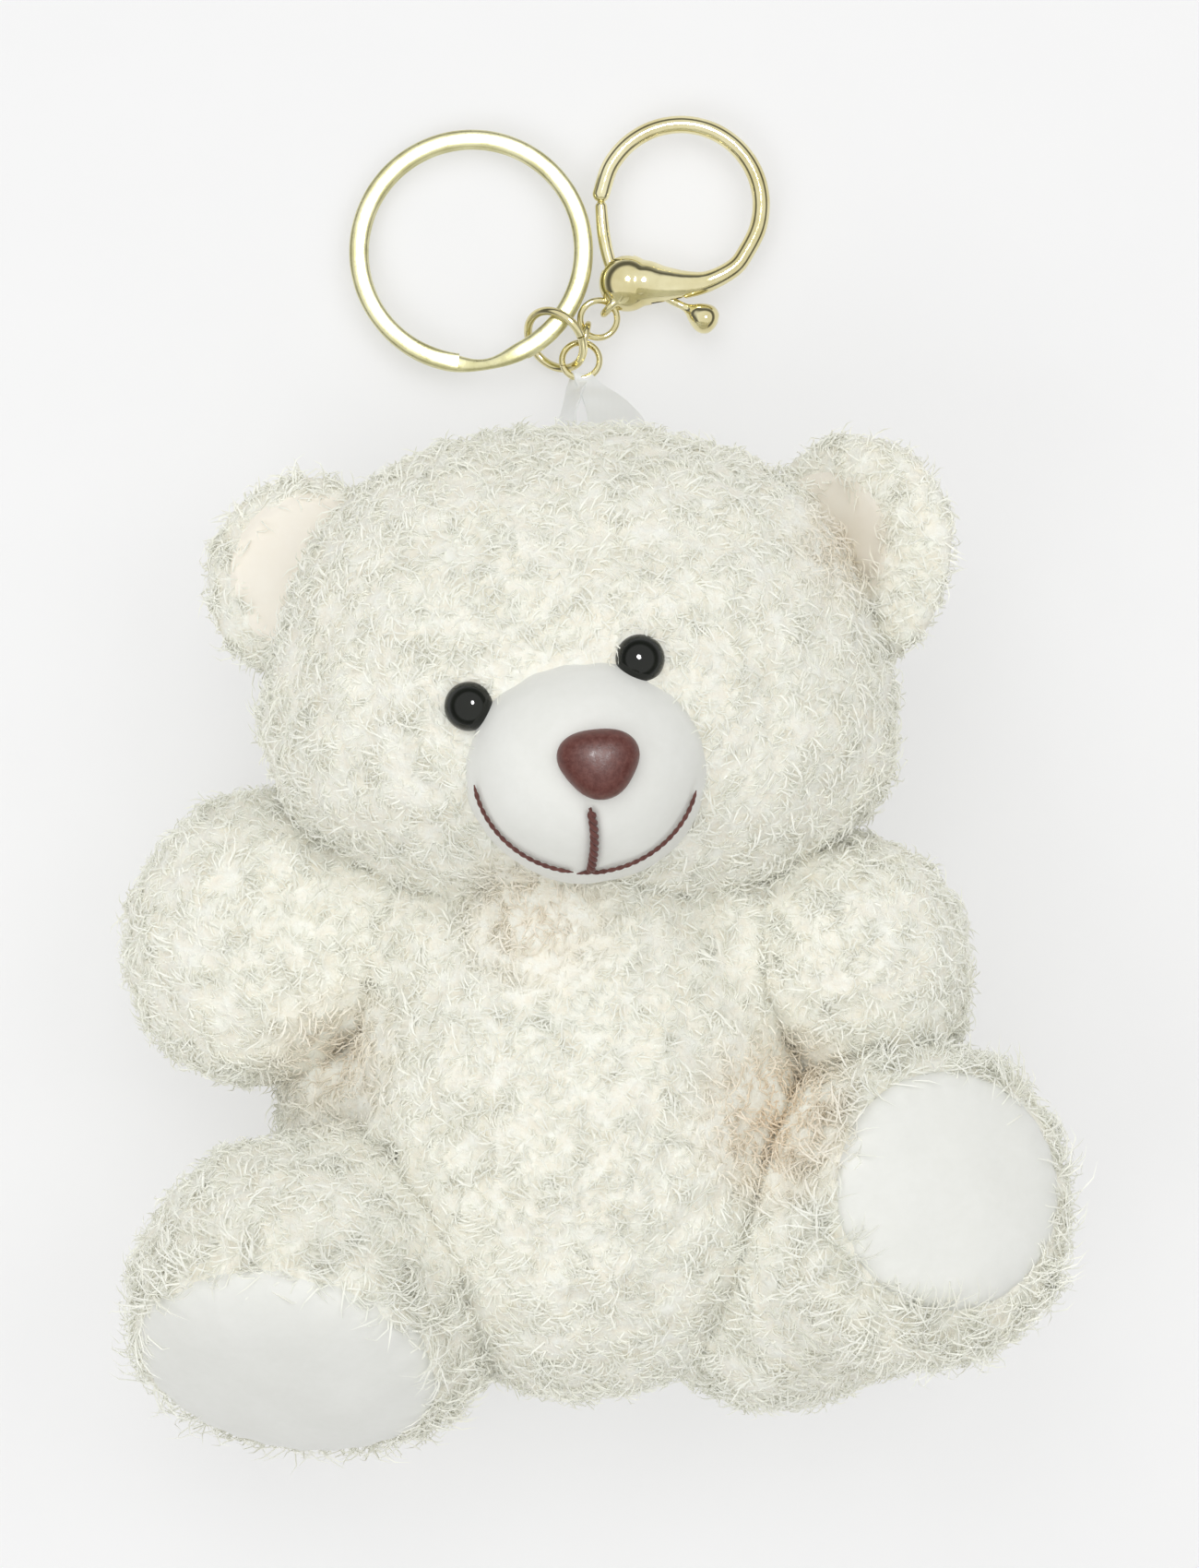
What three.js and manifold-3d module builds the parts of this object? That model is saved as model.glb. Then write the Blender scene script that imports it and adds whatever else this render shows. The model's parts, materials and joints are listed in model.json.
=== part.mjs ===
// Plush bear keychain lying on its back: a stuffed toy bear of curly pile fabric with safety eyes and nose,
// a ribbon tab in its crown, and gold-coloured hardware: a split key ring, jump rings and a snap clasp.
// Millimetres. +X is to the bear's left, +Y from seat to crown, +Z from its back to its face.
// The origin is at the middle of the overall box, on the surface that the bear lies on.
import * as THREE from "three";
import { mergeVertices } from "three/addons/utils/BufferGeometryUtils.js";
import Module from "manifold-3d";

const wasm = await Module();
wasm.setup();

// ---------- driving dimensions ----------
const clearance = 0.4; // between two pieces that lie together
const swingClearance = 0.7; // between two pieces that swing past each other
const seamGap = 0.3; // between two panels along a seam
const pileFabric = 4; // the curly pile fabric, backing and pile
const smoothFabric = 1.2; // the short-napped fabric of muzzle, soles and ear linings

const head = { centre: [-1.8, 11.6, 27], radii: [38, 33.3, 27.5], chinRadius: 26.5, gusset: 19 };
const nod = { pivot: [-1.8, -9, 20], axis: [1, 0, 0], angles: [-3, 5] };
const muzzle = { centre: [-0.8, 4.6, 46.5], radii: [15, 13.6, 14.5], seam: 4.5 };
const eye = { radius: 2.8, dome: 2.3, stem: 1, stemLength: 7.5, washer: 3.3 };
const eyeSpots = { right: [-14.8, 12.2, 50.6], left: [5, 17.6, 51.6] };
const nose = { radii: [4.3, 3.7, 2.7], offset: [1.1, 0.6], stem: 1, stemLength: 8, washer: 3 };
const washerThickness = 1.2;
const thread = 0.5;
const mouthStitch = { from: -4.6, to: -11 };
const smile = { start: 190, end: 347, share: 0.87 };

const ear = { thickness: 7, rim: 3.4, dish: 2.2, lining: 1.2 };
const ears = {
  right: { centre: [-35.2, 27.4, 24], facing: [-0.32, 0.1, 0.94], radius: 13 },
  left: { centre: [30, 29, 25], facing: [-0.36, 0.12, 0.92], radius: 14.6 },
};

const torso = { centre: [-1.8, -38.2, 23.4], radii: [28.5, 34, 24.5] };
const arms = {
  right: {
    base: [-25, -11.5, 17], tip: [-41.2, -17.8, 17.5], baseRadius: 16, tipRadius: 16.6,
    swing: { axis: [0, 1, 0], angles: [0, 20] },
  },
  left: {
    base: [19, -13, 18], tip: [30.6, -17.6, 27], baseRadius: 14, tipRadius: 14.4,
    swing: { axis: [0, 1, 0], angles: [0, -16] },
  },
};
const legs = {
  right: {
    base: [-19, -52, 18], tip: [-35.2, -59.4, 31.5], baseRadius: 17.4, tipRadius: 21,
    sole: { normal: [-0.14, -0.79, 0.6], depth: 8.4, dome: 4.6 },
    swing: { axis: [1, 0, 0], angles: [-8, 8] },
  },
  left: {
    base: [21.5, -56.2, 18], tip: [37.2, -46.6, 29.5], baseRadius: 17.6, tipRadius: 19.6,
    sole: { normal: [0.35, 0.1, 0.93], depth: 12.4, dome: 3 },
    swing: { axis: [1, 0, 0], angles: [-8, 8] },
  },
};

const ribbon = {
  width: 5.4, foldWidth: 2.2, gather: 3.4, thickness: 0.4, fold: 0.9,
  sewn: [-2.1, 43.6, 24.5], lift: [0, 25],
};
const keyRing = {
  centre: [-15.4, 68.1, 2.4], radius: 13.85, band: 2.3, turn: 1.1, turnGap: 0.25, rise: 4, toward: -46,
};
const keyLink = { centre: [-5, 57.2, 3.3], radius: 3.95, wire: 0.52, toward: -46, tilt: 45 };
const ribbonRing = { centre: [-1.9, 54.65, 3.25], radius: 2.3, wire: 0.4, toward: 0, tilt: -15 };
const chainLink = { centre: [-1.35, 57.45, 2.75], radius: 1.75, wire: 0.4, toward: 78, tilt: 90 };
const claspRing = { centre: [0.3, 59.75, 2.9], radius: 2.3, wire: 0.4, toward: 46, tilt: 14 };

const clasp = {
  centre: [10.4, 73.8, 2.9], radius: 9.9, wire: 1.1, tip: 172, root: -52,
  bulb: [4.5, 64.2, 2.9], bulbRadius: 2.85, slot: 2,
  eye: [1.9, 61.4, 2.9], eyeRadius: 1.75, eyeHole: 0.95, eyeThickness: 1.1,
  pin: [6.2, 63.9], pinRadius: 0.55, pinLength: 4.6,
};
const lever = {
  bar: 0.8, elbow: [1.5, 66.4], hub: 1.5, hubThickness: 1.4, open: 26, gap: 0.5,
  thumb: [13.4, 59.8], thumbRadius: 1.6,
};
const spring = { coil: 0.5, wire: 0.14, turns: 3, length: 1.2, reach: 3, angle: 122 };

// ---------- geometry helpers ----------
const vec = (p) => new THREE.Vector3(...p);
const radians = THREE.MathUtils.degToRad;
const sides = ["right", "left"];

// A geometry as a solid, with coincident vertices merged and collapsed triangles dropped.
function solid(geometry, matrix = new THREE.Matrix4()) {
  const bare = geometry.clone().applyMatrix4(matrix);
  bare.deleteAttribute("normal");
  bare.deleteAttribute("uv");
  const merged = mergeVertices(bare, 1e-4);
  const corners = merged.index.array;
  const kept = [];
  for (let i = 0; i < corners.length; i += 3) {
    const [a, b, c] = corners.slice(i, i + 3);
    if (a !== b && b !== c && a !== c) kept.push(a, b, c);
  }
  return new wasm.Manifold(
    new wasm.Mesh({
      numProp: 3,
      vertProperties: merged.attributes.position.array,
      triVerts: new Uint32Array(kept),
    }),
  );
}

function geometryOf(made) {
  const mesh = made.getMesh();
  const points = new Float32Array(mesh.numVert * 3);
  for (let i = 0; i < mesh.numVert; i++)
    points.set(mesh.vertProperties.subarray(i * mesh.numProp, i * mesh.numProp + 3), i * 3);
  const geometry = new THREE.BufferGeometry();
  geometry.setAttribute("position", new THREE.BufferAttribute(points, 3));
  geometry.setIndex(new THREE.BufferAttribute(mesh.triVerts, 1));
  geometry.computeVertexNormals();
  return geometry;
}

const join = (solids) => solids.reduce((all, one) => all.add(one));

// The largest of a solid's separate bodies: slivers that a cut leaves are scrap.
const largest = (made) =>
  made.decompose().reduce((best, one) => (one.volume() > best.volume() ? one : best));

// A matrix that carries one axis onto a direction, and the origin onto a point.
function placed(point, direction, from = [0, 1, 0]) {
  const turn = new THREE.Quaternion().setFromUnitVectors(vec(from), vec(direction).normalize());
  return new THREE.Matrix4().compose(vec(point), turn, new THREE.Vector3(1, 1, 1));
}

// A ball stretched to three radii, and to a fourth below its middle.
function ball(centre, [x, y, z], around = 20, up = 12, below = y) {
  const geometry = new THREE.SphereGeometry(1, around, up).rotateX(Math.PI / 2);
  const points = geometry.attributes.position;
  for (let i = 0; i < points.count; i++) {
    const v = points.getY(i);
    points.setXYZ(i, points.getX(i) * x, v * (v < 0 ? below : y), points.getZ(i) * z);
  }
  return solid(geometry, new THREE.Matrix4().makeTranslation(...centre));
}

function rod(from, to, radius, around = 12) {
  const direction = vec(to).sub(vec(from));
  const middle = vec(from).addScaledVector(direction, 0.5).toArray();
  const geometry = new THREE.CylinderGeometry(radius, radius, direction.length(), around);
  return solid(geometry, placed(middle, direction.toArray()));
}

// Everything on the side of a plane that its normal points to.
function beyond(point, normal) {
  const size = 300;
  const middle = vec(point).addScaledVector(vec(normal).normalize(), size / 2).toArray();
  return solid(new THREE.BoxGeometry(size, size, size), placed(middle, normal));
}

function turned(made, pivot, axis, degrees) {
  const there = new THREE.Matrix4().makeTranslation(...pivot);
  const back = new THREE.Matrix4().makeTranslation(...pivot.map((x) => -x));
  const turn = new THREE.Matrix4().makeRotationAxis(vec(axis), radians(degrees));
  return made.transform(there.multiply(turn).multiply(back).elements);
}

const swept = (made, pivot, { axis, angles }, sign = 1) =>
  join(angles.map((angle) => turned(made, pivot, axis, sign * angle)));

// A tube of changing radius along a smooth curve, closed by a flat face at each end.
function taperedTube(points, radii, around, steps, closed = false, flatten = 1) {
  const path = new THREE.CatmullRomCurve3(points.map(vec), closed, "centripetal");
  const frames = path.computeFrenetFrames(steps, closed);
  const rings = closed ? steps : steps + 1;
  const corners = [];
  for (let i = 0; i < rings; i++) {
    const share = i / steps;
    const middle = path.getPointAt(share);
    const at = share * (radii.length - 1);
    const low = Math.min(Math.floor(at), radii.length - 2);
    const radius = radii.length > 1 ? radii[low] + (radii[low + 1] - radii[low]) * (at - low) : radii[0];
    for (let j = 0; j < around; j++) {
      const angle = (2 * Math.PI * j) / around;
      const offset = frames.normals[i].clone().multiplyScalar(radius * Math.cos(angle));
      offset.addScaledVector(frames.binormals[i], radius * Math.sin(angle));
      offset.z *= flatten;
      corners.push(...middle.clone().add(offset).toArray());
    }
  }
  const faces = [];
  for (let i = 0; i < (closed ? rings : rings - 1); i++) {
    for (let j = 0; j < around; j++) {
      const a = i * around + j;
      const b = i * around + ((j + 1) % around);
      const c = ((i + 1) % rings) * around + j;
      const d = ((i + 1) % rings) * around + ((j + 1) % around);
      faces.push(a, b, c, b, d, c);
    }
  }
  if (!closed) {
    const last = (rings - 1) * around;
    for (let j = 1; j < around - 1; j++) {
      faces.push(0, j + 1, j);
      faces.push(last, last + j, last + j + 1);
    }
  }
  const geometry = new THREE.BufferGeometry();
  geometry.setAttribute("position", new THREE.BufferAttribute(new Float32Array(corners), 3));
  geometry.setIndex(faces);
  return solid(geometry);
}

// Two directions in the plane of a ring: one level, at an angle in plan, and one tilted up from level.
function ringAxes({ toward, tilt }) {
  const level = new THREE.Vector3(Math.cos(radians(toward)), Math.sin(radians(toward)), 0);
  const across = new THREE.Vector3(-level.y, level.x, 0);
  const raised = across.multiplyScalar(Math.cos(radians(tilt)));
  raised.z = Math.sin(radians(tilt));
  return [level, raised];
}

function wireRing(ring, around = 7, steps = 18) {
  const [level, raised] = ringAxes(ring);
  const normal = level.clone().cross(raised);
  const basis = new THREE.Matrix4().makeBasis(level, raised, normal).setPosition(vec(ring.centre));
  return solid(new THREE.TorusGeometry(ring.radius, ring.wire, around, steps), basis);
}

const materials = {
  pile: new THREE.MeshStandardMaterial({ color: 0xe9e6d8, roughness: 0.95 }),
  smooth: new THREE.MeshStandardMaterial({ color: 0xe8e8e6, roughness: 0.9 }),
  lining: new THREE.MeshStandardMaterial({ color: 0xefe6d6, roughness: 0.9 }),
  wadding: new THREE.MeshStandardMaterial({ color: 0xf4f4f2, roughness: 1 }),
  eye: new THREE.MeshStandardMaterial({ color: 0x0c0d0c, roughness: 0.08 }),
  nose: new THREE.MeshStandardMaterial({ color: 0x6e3a33, roughness: 0.45 }),
  washer: new THREE.MeshStandardMaterial({ color: 0xd9dbd8, roughness: 0.5 }),
  thread: new THREE.MeshStandardMaterial({ color: 0x5b2f28, roughness: 0.8 }),
  ribbon: new THREE.MeshStandardMaterial({ color: 0xe9ecea, roughness: 0.5 }),
  gold: new THREE.MeshStandardMaterial({ color: 0xc9bd7a, roughness: 0.2, metalness: 1 }),
  steel: new THREE.MeshStandardMaterial({ color: 0xb9bbbd, roughness: 0.3, metalness: 1 }),
};

const keychain = new THREE.Group();
keychain.name = "plush_keychain";

function addPiece(name, made, material) {
  const mesh = new THREE.Mesh(geometryOf(made), materials[material]);
  mesh.name = name;
  keychain.add(mesh);
}

// ---------- the bear's envelopes, and the room that its moving pieces need ----------
const surface = beyond([0, 0, 0], [0, 0, 1]);

const headShape = (grow, around = 20, up = 12) =>
  ball(head.centre, head.radii.map((r) => r + grow), around, up, head.chinRadius + grow);
const torsoShape = (grow, around = 20, up = 12) =>
  ball(torso.centre, torso.radii.map((r) => r + grow), around, up);

// A stuffed limb: a tapered tube with a ball at each end.
function limbShape(limb, grow, around = 14) {
  const direction = vec(limb.tip).sub(vec(limb.base));
  const length = direction.length();
  const low = limb.baseRadius + grow;
  const high = limb.tipRadius + grow;
  const lean = Math.asin((low - high) / length);
  const profile = [];
  const ringsPerBall = 5;
  for (let i = 0; i <= ringsPerBall; i++) {
    const angle = -Math.PI / 2 + ((Math.PI / 2 + lean) * i) / ringsPerBall;
    profile.push(new THREE.Vector2(low * Math.cos(angle), low * Math.sin(angle)));
  }
  for (let i = 0; i <= ringsPerBall; i++) {
    const angle = lean + ((Math.PI / 2 - lean) * i) / ringsPerBall;
    profile.push(new THREE.Vector2(high * Math.cos(angle), length + high * Math.sin(angle)));
  }
  profile[0].x = 0;
  profile[profile.length - 1].x = 0;
  return solid(new THREE.LatheGeometry(profile, around), placed(limb.base, direction.toArray()));
}

// The flat face at a foot's end, and what lies behind it.
const soleSpot = (leg, offset = 0) =>
  vec(leg.tip)
    .addScaledVector(vec(leg.sole.normal).normalize(), leg.sole.depth + offset)
    .toArray();
const footShape = (leg, grow, around = 14) =>
  limbShape(leg, grow, around).subtract(beyond(soleSpot(leg, leg.sole.dome + grow), leg.sole.normal));

const foldSpot = vec(ribbonRing.centre)
  .addScaledVector(ringAxes(ribbonRing)[1], -ribbonRing.radius)
  .toArray();

const headRoom = swept(headShape(swingClearance + 0.5, 16, 10), nod.pivot, nod);
const legRoom = {};
const armRoom = {};
const socket = (limb) => {
  const radius = limb.baseRadius + swingClearance + 1.1;
  return ball(limb.base, [radius, radius, radius], 14, 8);
};
for (const side of sides) {
  const leg = legs[side];
  const arm = arms[side];
  const grow = swingClearance + 0.8; // the room is cut coarsely, so it is drawn a little larger
  legRoom[side] = socket(leg).add(swept(footShape(leg, grow, 10), leg.base, leg.swing));
  armRoom[side] = socket(arm).add(swept(limbShape(arm, grow, 10), arm.base, arm.swing));
}

// ---------- torso: a front and a back panel over wadding, hollowed where head and limbs are sewn on ----------
const room = join([headRoom, ...sides.map((side) => armRoom[side].add(legRoom[side]))]);
const inside = beyond([0, 0, pileFabric], [0, 0, 1]);
const torsoSkin = torsoShape(0)
  .intersect(surface)
  .subtract(torsoShape(-pileFabric, 14, 8).intersect(inside))
  .subtract(room);
const torsoSeam = torso.centre[2] - 2;
const torsoFront = torsoSkin.intersect(beyond([0, 0, torsoSeam + seamGap / 2], [0, 0, 1]));
const torsoBack = torsoSkin.intersect(beyond([0, 0, torsoSeam - seamGap / 2], [0, 0, -1]));
addPiece("torso_front_panel", largest(torsoFront), "pile");
addPiece("torso_back_panel", largest(torsoBack), "pile");
// The wadding stands well back from each limb: a ball and a straight bore clear the whole swing.
const bores = sides.flatMap((side) =>
  [arms[side], legs[side]].map((limb) => {
    const widest = Math.max(limb.baseRadius, limb.tipRadius);
    return socket(limb).add(rod(limb.base, limb.tip, widest + 3.5, 12));
  }),
);
const torsoFill = torsoShape(-pileFabric - clearance, 14, 8)
  .intersect(beyond([0, 0, pileFabric + clearance], [0, 0, 1]))
  .subtract(join([headShape(3, 14, 8), ...bores]));
addPiece("torso_stuffing", largest(torsoFill), "wadding");

// ---------- head: two side panels and a gusset, wadding, muzzle, eyes, nose and mouth ----------
const holes = [];
for (const side of sides) {
  const [x, y, z] = eyeSpots[side];
  const button = (grow) =>
    ball([x, y, z], [eye.radius + grow, eye.radius + grow, eye.dome + grow], 12, 8).add(
      rod([x, y, z - eye.stemLength - grow], [x, y, z], eye.stem + grow, 8),
    );
  const top = z - eye.stemLength + 2.2;
  const washer = (grow) =>
    rod([x, y, top - washerThickness - grow], [x, y, top + grow], eye.washer + grow, 12);
  addPiece(`eye_${side}`, button(0), "eye");
  addPiece(`eye_washer_${side}`, washer(0).subtract(button(0.15)), "washer");
  holes.push(button(clearance), washer(clearance));
}
const noseSpot = [
  muzzle.centre[0] + nose.offset[0],
  muzzle.centre[1] + nose.offset[1],
  muzzle.centre[2] + muzzle.radii[2] + 0.4,
];
const alongNose = (z) => [noseSpot[0], noseSpot[1], noseSpot[2] - z];
const noseButton = (grow) =>
  ball(noseSpot, nose.radii.map((r) => r + grow), 14, 8).add(
    rod(alongNose(nose.stemLength + grow), noseSpot, nose.stem + grow, 8),
  );
const noseWasherDepth = nose.stemLength - 2.2;
const noseWasher = (grow) =>
  rod(
    alongNose(noseWasherDepth + washerThickness + grow),
    alongNose(noseWasherDepth - grow),
    nose.washer + grow,
    12,
  );
addPiece("nose", noseButton(0), "nose");
addPiece("nose_washer", noseWasher(0).subtract(noseButton(0.15)), "washer");
holes.push(noseButton(clearance), noseWasher(clearance));
const cutouts = join(holes);

const muzzleShape = (grow, around = 16, up = 10) =>
  ball(muzzle.centre, muzzle.radii.map((r) => r + grow), around, up);
const muzzleEdge = muzzle.centre[2] - muzzle.seam;
const aboveEdge = beyond([0, 0, muzzleEdge], [0, 0, 1]);
const muzzleCover = muzzleShape(0).subtract(muzzleShape(-smoothFabric)).intersect(aboveEdge);
addPiece("muzzle_cover", largest(muzzleCover.subtract(cutouts)), "smooth");
const muzzleFill = muzzleShape(-smoothFabric - clearance, 12, 8).intersect(aboveEdge);
addPiece("muzzle_stuffing", largest(muzzleFill.subtract(cutouts)), "wadding");

// A point just clear of the muzzle's cover, from shares of its width and height.
function onMuzzle(u, v) {
  const lift = clearance + thread;
  const w = Math.sqrt(1 - u * u - v * v);
  return [u, v, w].map((share, i) => muzzle.centre[i] + share * (muzzle.radii[i] + lift));
}
const upright = [0, 1, 2, 3, 4].map((i) => {
  const y = mouthStitch.from + ((mouthStitch.to - mouthStitch.from) * i) / 4;
  return onMuzzle(0.05 + 0.01 * i * (4 - i), y / (muzzle.radii[1] + clearance));
});
addPiece("mouth_stitch", taperedTube(upright, [thread, thread], 6, 8), "thread");
const smileSpot = (share) => {
  const angle = radians(smile.start + (smile.end - smile.start) * share);
  return onMuzzle(smile.share * Math.cos(angle), smile.share * Math.sin(angle));
};
for (const side of sides) {
  const shares = side === "right" ? [0, 0.12, 0.24, 0.36, 0.46] : [0.54, 0.64, 0.76, 0.88, 1];
  const line = taperedTube(shares.map(smileSpot), [thread, thread], 6, 10);
  addPiece(`smile_stitch_${side}`, line, "thread");
}

const ribbonEnd = vec(ribbon.sewn).lerp(vec(foldSpot), -0.06).toArray();
const ribbonGap = swept(
  rod(ribbonEnd, foldSpot, ribbon.width / 2 + 2 * clearance, 8),
  ribbon.sewn,
  { axis: [1, 0, 0], angles: ribbon.lift },
);
const muzzleRoom = muzzleShape(clearance).intersect(beyond([0, 0, muzzleEdge - clearance], [0, 0, 1]));
const headCuts = join([muzzleRoom, cutouts, ribbonGap]);
const headSkin = headShape(0)
  .intersect(surface)
  .subtract(headShape(-pileFabric, 16, 10).intersect(inside))
  .subtract(headCuts);
const gussetEdge = head.gusset / 2;
const middleX = head.centre[0];
const gusset = headSkin
  .intersect(beyond([middleX - gussetEdge, 0, 0], [1, 0, 0]))
  .intersect(beyond([middleX + gussetEdge, 0, 0], [-1, 0, 0]));
addPiece("head_gusset", largest(gusset), "pile");
for (const [side, sign] of [["right", -1], ["left", 1]]) {
  const cheek = beyond([middleX + sign * (gussetEdge + seamGap), 0, 0], [sign, 0, 0]);
  addPiece(`head_panel_${side}`, largest(headSkin.intersect(cheek)), "pile");
}
const headFill = headShape(-pileFabric - clearance, 16, 10)
  .intersect(beyond([0, 0, pileFabric + clearance], [0, 0, 1]))
  .subtract(headCuts);
addPiece("head_stuffing", largest(headFill), "wadding");

// ---------- ears: a pile back, dished in front, with a smooth lining in the dish ----------
for (const side of sides) {
  const { centre, facing, radius } = ears[side];
  const place = placed(centre, facing, [0, 0, 1]);
  const lens = (size, depth, z, around, up) => {
    const scale = new THREE.Matrix4().makeScale(size, size, depth).setPosition(0, 0, z);
    const geometry = new THREE.SphereGeometry(1, around, up).rotateX(Math.PI / 2);
    return solid(geometry, place.clone().multiply(scale));
  };
  const skull = headShape(clearance);
  const half = ear.thickness / 2;
  const dish = (grow) => lens(radius - ear.rim + grow, ear.dish + grow, half, 14, 6);
  const back = lens(radius, half, 0, 16, 8).subtract(dish(clearance)).subtract(skull);
  addPiece(`ear_back_${side}`, largest(back), "pile");
  const lining = dish(0)
    .intersect(lens(radius - 0.5, half - 0.5, 0, 14, 8))
    .subtract(dish(-ear.lining))
    .subtract(skull);
  addPiece(`ear_lining_${side}`, largest(lining), "lining");
}

// ---------- arms: a front and a back panel round wadding ----------
for (const side of sides) {
  const arm = arms[side];
  const neighbours = swept(headRoom.add(legRoom[side]), arm.base, arm.swing, -1);
  const skin = limbShape(arm, 0).subtract(limbShape(arm, -pileFabric, 10)).subtract(neighbours);
  const along = vec(arm.tip).sub(vec(arm.base));
  const upward = along.clone().cross(new THREE.Vector3(0, 1, 0)).normalize();
  if (upward.z < 0) upward.negate();
  const half = (sign) =>
    beyond(
      vec(arm.base).addScaledVector(upward, (sign * seamGap) / 2).toArray(),
      upward.clone().multiplyScalar(sign).toArray(),
    );
  addPiece(`arm_front_panel_${side}`, largest(skin.intersect(half(1))), "pile");
  addPiece(`arm_back_panel_${side}`, largest(skin.intersect(half(-1))), "pile");
  const fill = limbShape(arm, -pileFabric - clearance, 10).subtract(neighbours);
  addPiece(`arm_stuffing_${side}`, largest(fill), "wadding");
}

// ---------- legs: an upper and a lower panel round wadding, closed by a domed smooth sole ----------
for (const side of sides) {
  const leg = legs[side];
  const { normal, depth, dome } = leg.sole;
  const edge = Math.sqrt(leg.tipRadius ** 2 - depth ** 2) - 1.2;
  const cap = (rise, radius, skirt = 0) => {
    const profile = [new THREE.Vector2(0, -skirt), new THREE.Vector2(radius, -skirt)];
    if (skirt) profile.push(new THREE.Vector2(radius, 0));
    for (let i = 1; i <= 5; i++) {
      const angle = (Math.PI / 2) * (i / 5);
      profile.push(new THREE.Vector2(radius * Math.cos(angle), rise * Math.sin(angle)));
    }
    profile[profile.length - 1].x = 0;
    profile.push(new THREE.Vector2(0, -skirt));
    return solid(new THREE.LatheGeometry(profile, 16), placed(soleSpot(leg), normal));
  };
  const sole = cap(dome, edge).subtract(cap(dome - smoothFabric, edge - smoothFabric, 1));
  addPiece(`sole_${side}`, largest(sole), "smooth");
  const footEnd = (offset) => beyond(soleSpot(leg, -offset), vec(normal).negate().toArray());
  const skin = limbShape(leg, 0)
    .subtract(limbShape(leg, -pileFabric, 10))
    .intersect(footEnd(clearance));
  const along = vec(leg.tip).sub(vec(leg.base));
  const upward = along.clone().cross(new THREE.Vector3(0, 1, 0)).normalize();
  if (upward.z < 0) upward.negate();
  const half = (sign) =>
    beyond(
      vec(leg.base).addScaledVector(upward, (sign * seamGap) / 2).toArray(),
      upward.clone().multiplyScalar(sign).toArray(),
    );
  addPiece(`leg_upper_panel_${side}`, largest(skin.intersect(half(1))), "pile");
  addPiece(`leg_lower_panel_${side}`, largest(skin.intersect(half(-1))), "pile");
  const inset = smoothFabric + clearance;
  const fill = limbShape(leg, -pileFabric - clearance, 10)
    .intersect(footEnd(-0.2))
    .add(cap(dome - inset, edge - inset - 1));
  addPiece(`leg_stuffing_${side}`, largest(fill), "wadding");
}

// ---------- ribbon tab: a strap folded round the ribbon ring, both ends sewn into the crown ----------
{
  const drop = vec(foldSpot).sub(vec(ribbon.sewn)).setX(0);
  const length = drop.length();
  const slope = Math.atan2(drop.z, drop.y);
  const outer = ribbon.fold + ribbon.thickness;
  const outline = new THREE.Shape();
  outline.moveTo(-length, outer);
  outline.lineTo(0, outer);
  outline.absarc(0, 0, outer, Math.PI / 2, -Math.PI / 2, true);
  outline.lineTo(-length, -outer);
  outline.lineTo(-length, -ribbon.fold);
  outline.lineTo(0, -ribbon.fold);
  outline.absarc(0, 0, ribbon.fold, -Math.PI / 2, Math.PI / 2, false);
  outline.lineTo(-length, ribbon.fold);
  outline.closePath();
  const ahead = new THREE.Vector3(0, Math.cos(slope), Math.sin(slope));
  const above = new THREE.Vector3(0, -Math.sin(slope), Math.cos(slope));
  const strap = (width) => {
    const geometry = new THREE.ExtrudeGeometry(outline, {
      depth: width,
      bevelEnabled: false,
      curveSegments: 5,
    });
    const basis = new THREE.Matrix4().makeBasis(ahead, above, new THREE.Vector3(1, 0, 0));
    return solid(geometry, basis.setPosition(foldSpot[0] - width / 2, foldSpot[1], foldSpot[2]));
  };
  const gather = vec(foldSpot).addScaledVector(ahead, -ribbon.gather).toArray();
  const legs = strap(ribbon.width).intersect(beyond(gather, ahead.clone().negate().toArray()));
  addPiece("ribbon_loop", strap(ribbon.foldWidth).add(legs), "ribbon");
}

// ---------- key ring and jump rings ----------
{
  const steps = 48;
  const bottom = -(keyRing.turn + keyRing.turnGap / 2);
  const rise = keyRing.turn + keyRing.turnGap;
  const inner = keyRing.radius - keyRing.band / 2;
  const outer = keyRing.radius + keyRing.band / 2;
  const corners = [];
  for (let i = 0; i <= steps; i++) {
    const turn = (i / steps) * 1.94;
    const angle = 2 * Math.PI * turn;
    const z = bottom + rise * Math.min(1, Math.max(0, (turn - 0.86) / 0.22));
    for (const [r, h] of [[inner, 0], [outer, 0], [outer, keyRing.turn], [inner, keyRing.turn]])
      corners.push(r * Math.cos(angle), r * Math.sin(angle), z + h);
  }
  const faces = [0, 1, 2, 0, 2, 3];
  const last = steps * 4;
  faces.push(last, last + 2, last + 1, last, last + 3, last + 2);
  for (let i = 0; i < steps; i++) {
    for (let j = 0; j < 4; j++) {
      const a = i * 4 + j;
      const b = i * 4 + ((j + 1) % 4);
      faces.push(a, a + 4, b, b, a + 4, b + 4);
    }
  }
  const geometry = new THREE.BufferGeometry();
  geometry.setAttribute("position", new THREE.BufferAttribute(new Float32Array(corners), 3));
  geometry.setIndex(faces);
  const raised = new THREE.Vector3(
    -Math.sin(radians(keyRing.toward)),
    Math.cos(radians(keyRing.toward)),
    0,
  );
  const lean = new THREE.Matrix4().makeRotationAxis(raised, -radians(keyRing.rise));
  const start = new THREE.Matrix4().makeRotationZ(radians(-100));
  const place = new THREE.Matrix4().makeTranslation(...keyRing.centre).multiply(lean).multiply(start);
  addPiece("split_key_ring", solid(geometry, place), "gold");
}
addPiece("key_link", wireRing(keyLink, 8, 22), "gold");
addPiece("ribbon_ring", wireRing(ribbonRing), "gold");
addPiece("chain_link", wireRing(chainLink), "gold");
addPiece("clasp_ring", wireRing(claspRing), "gold");

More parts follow.
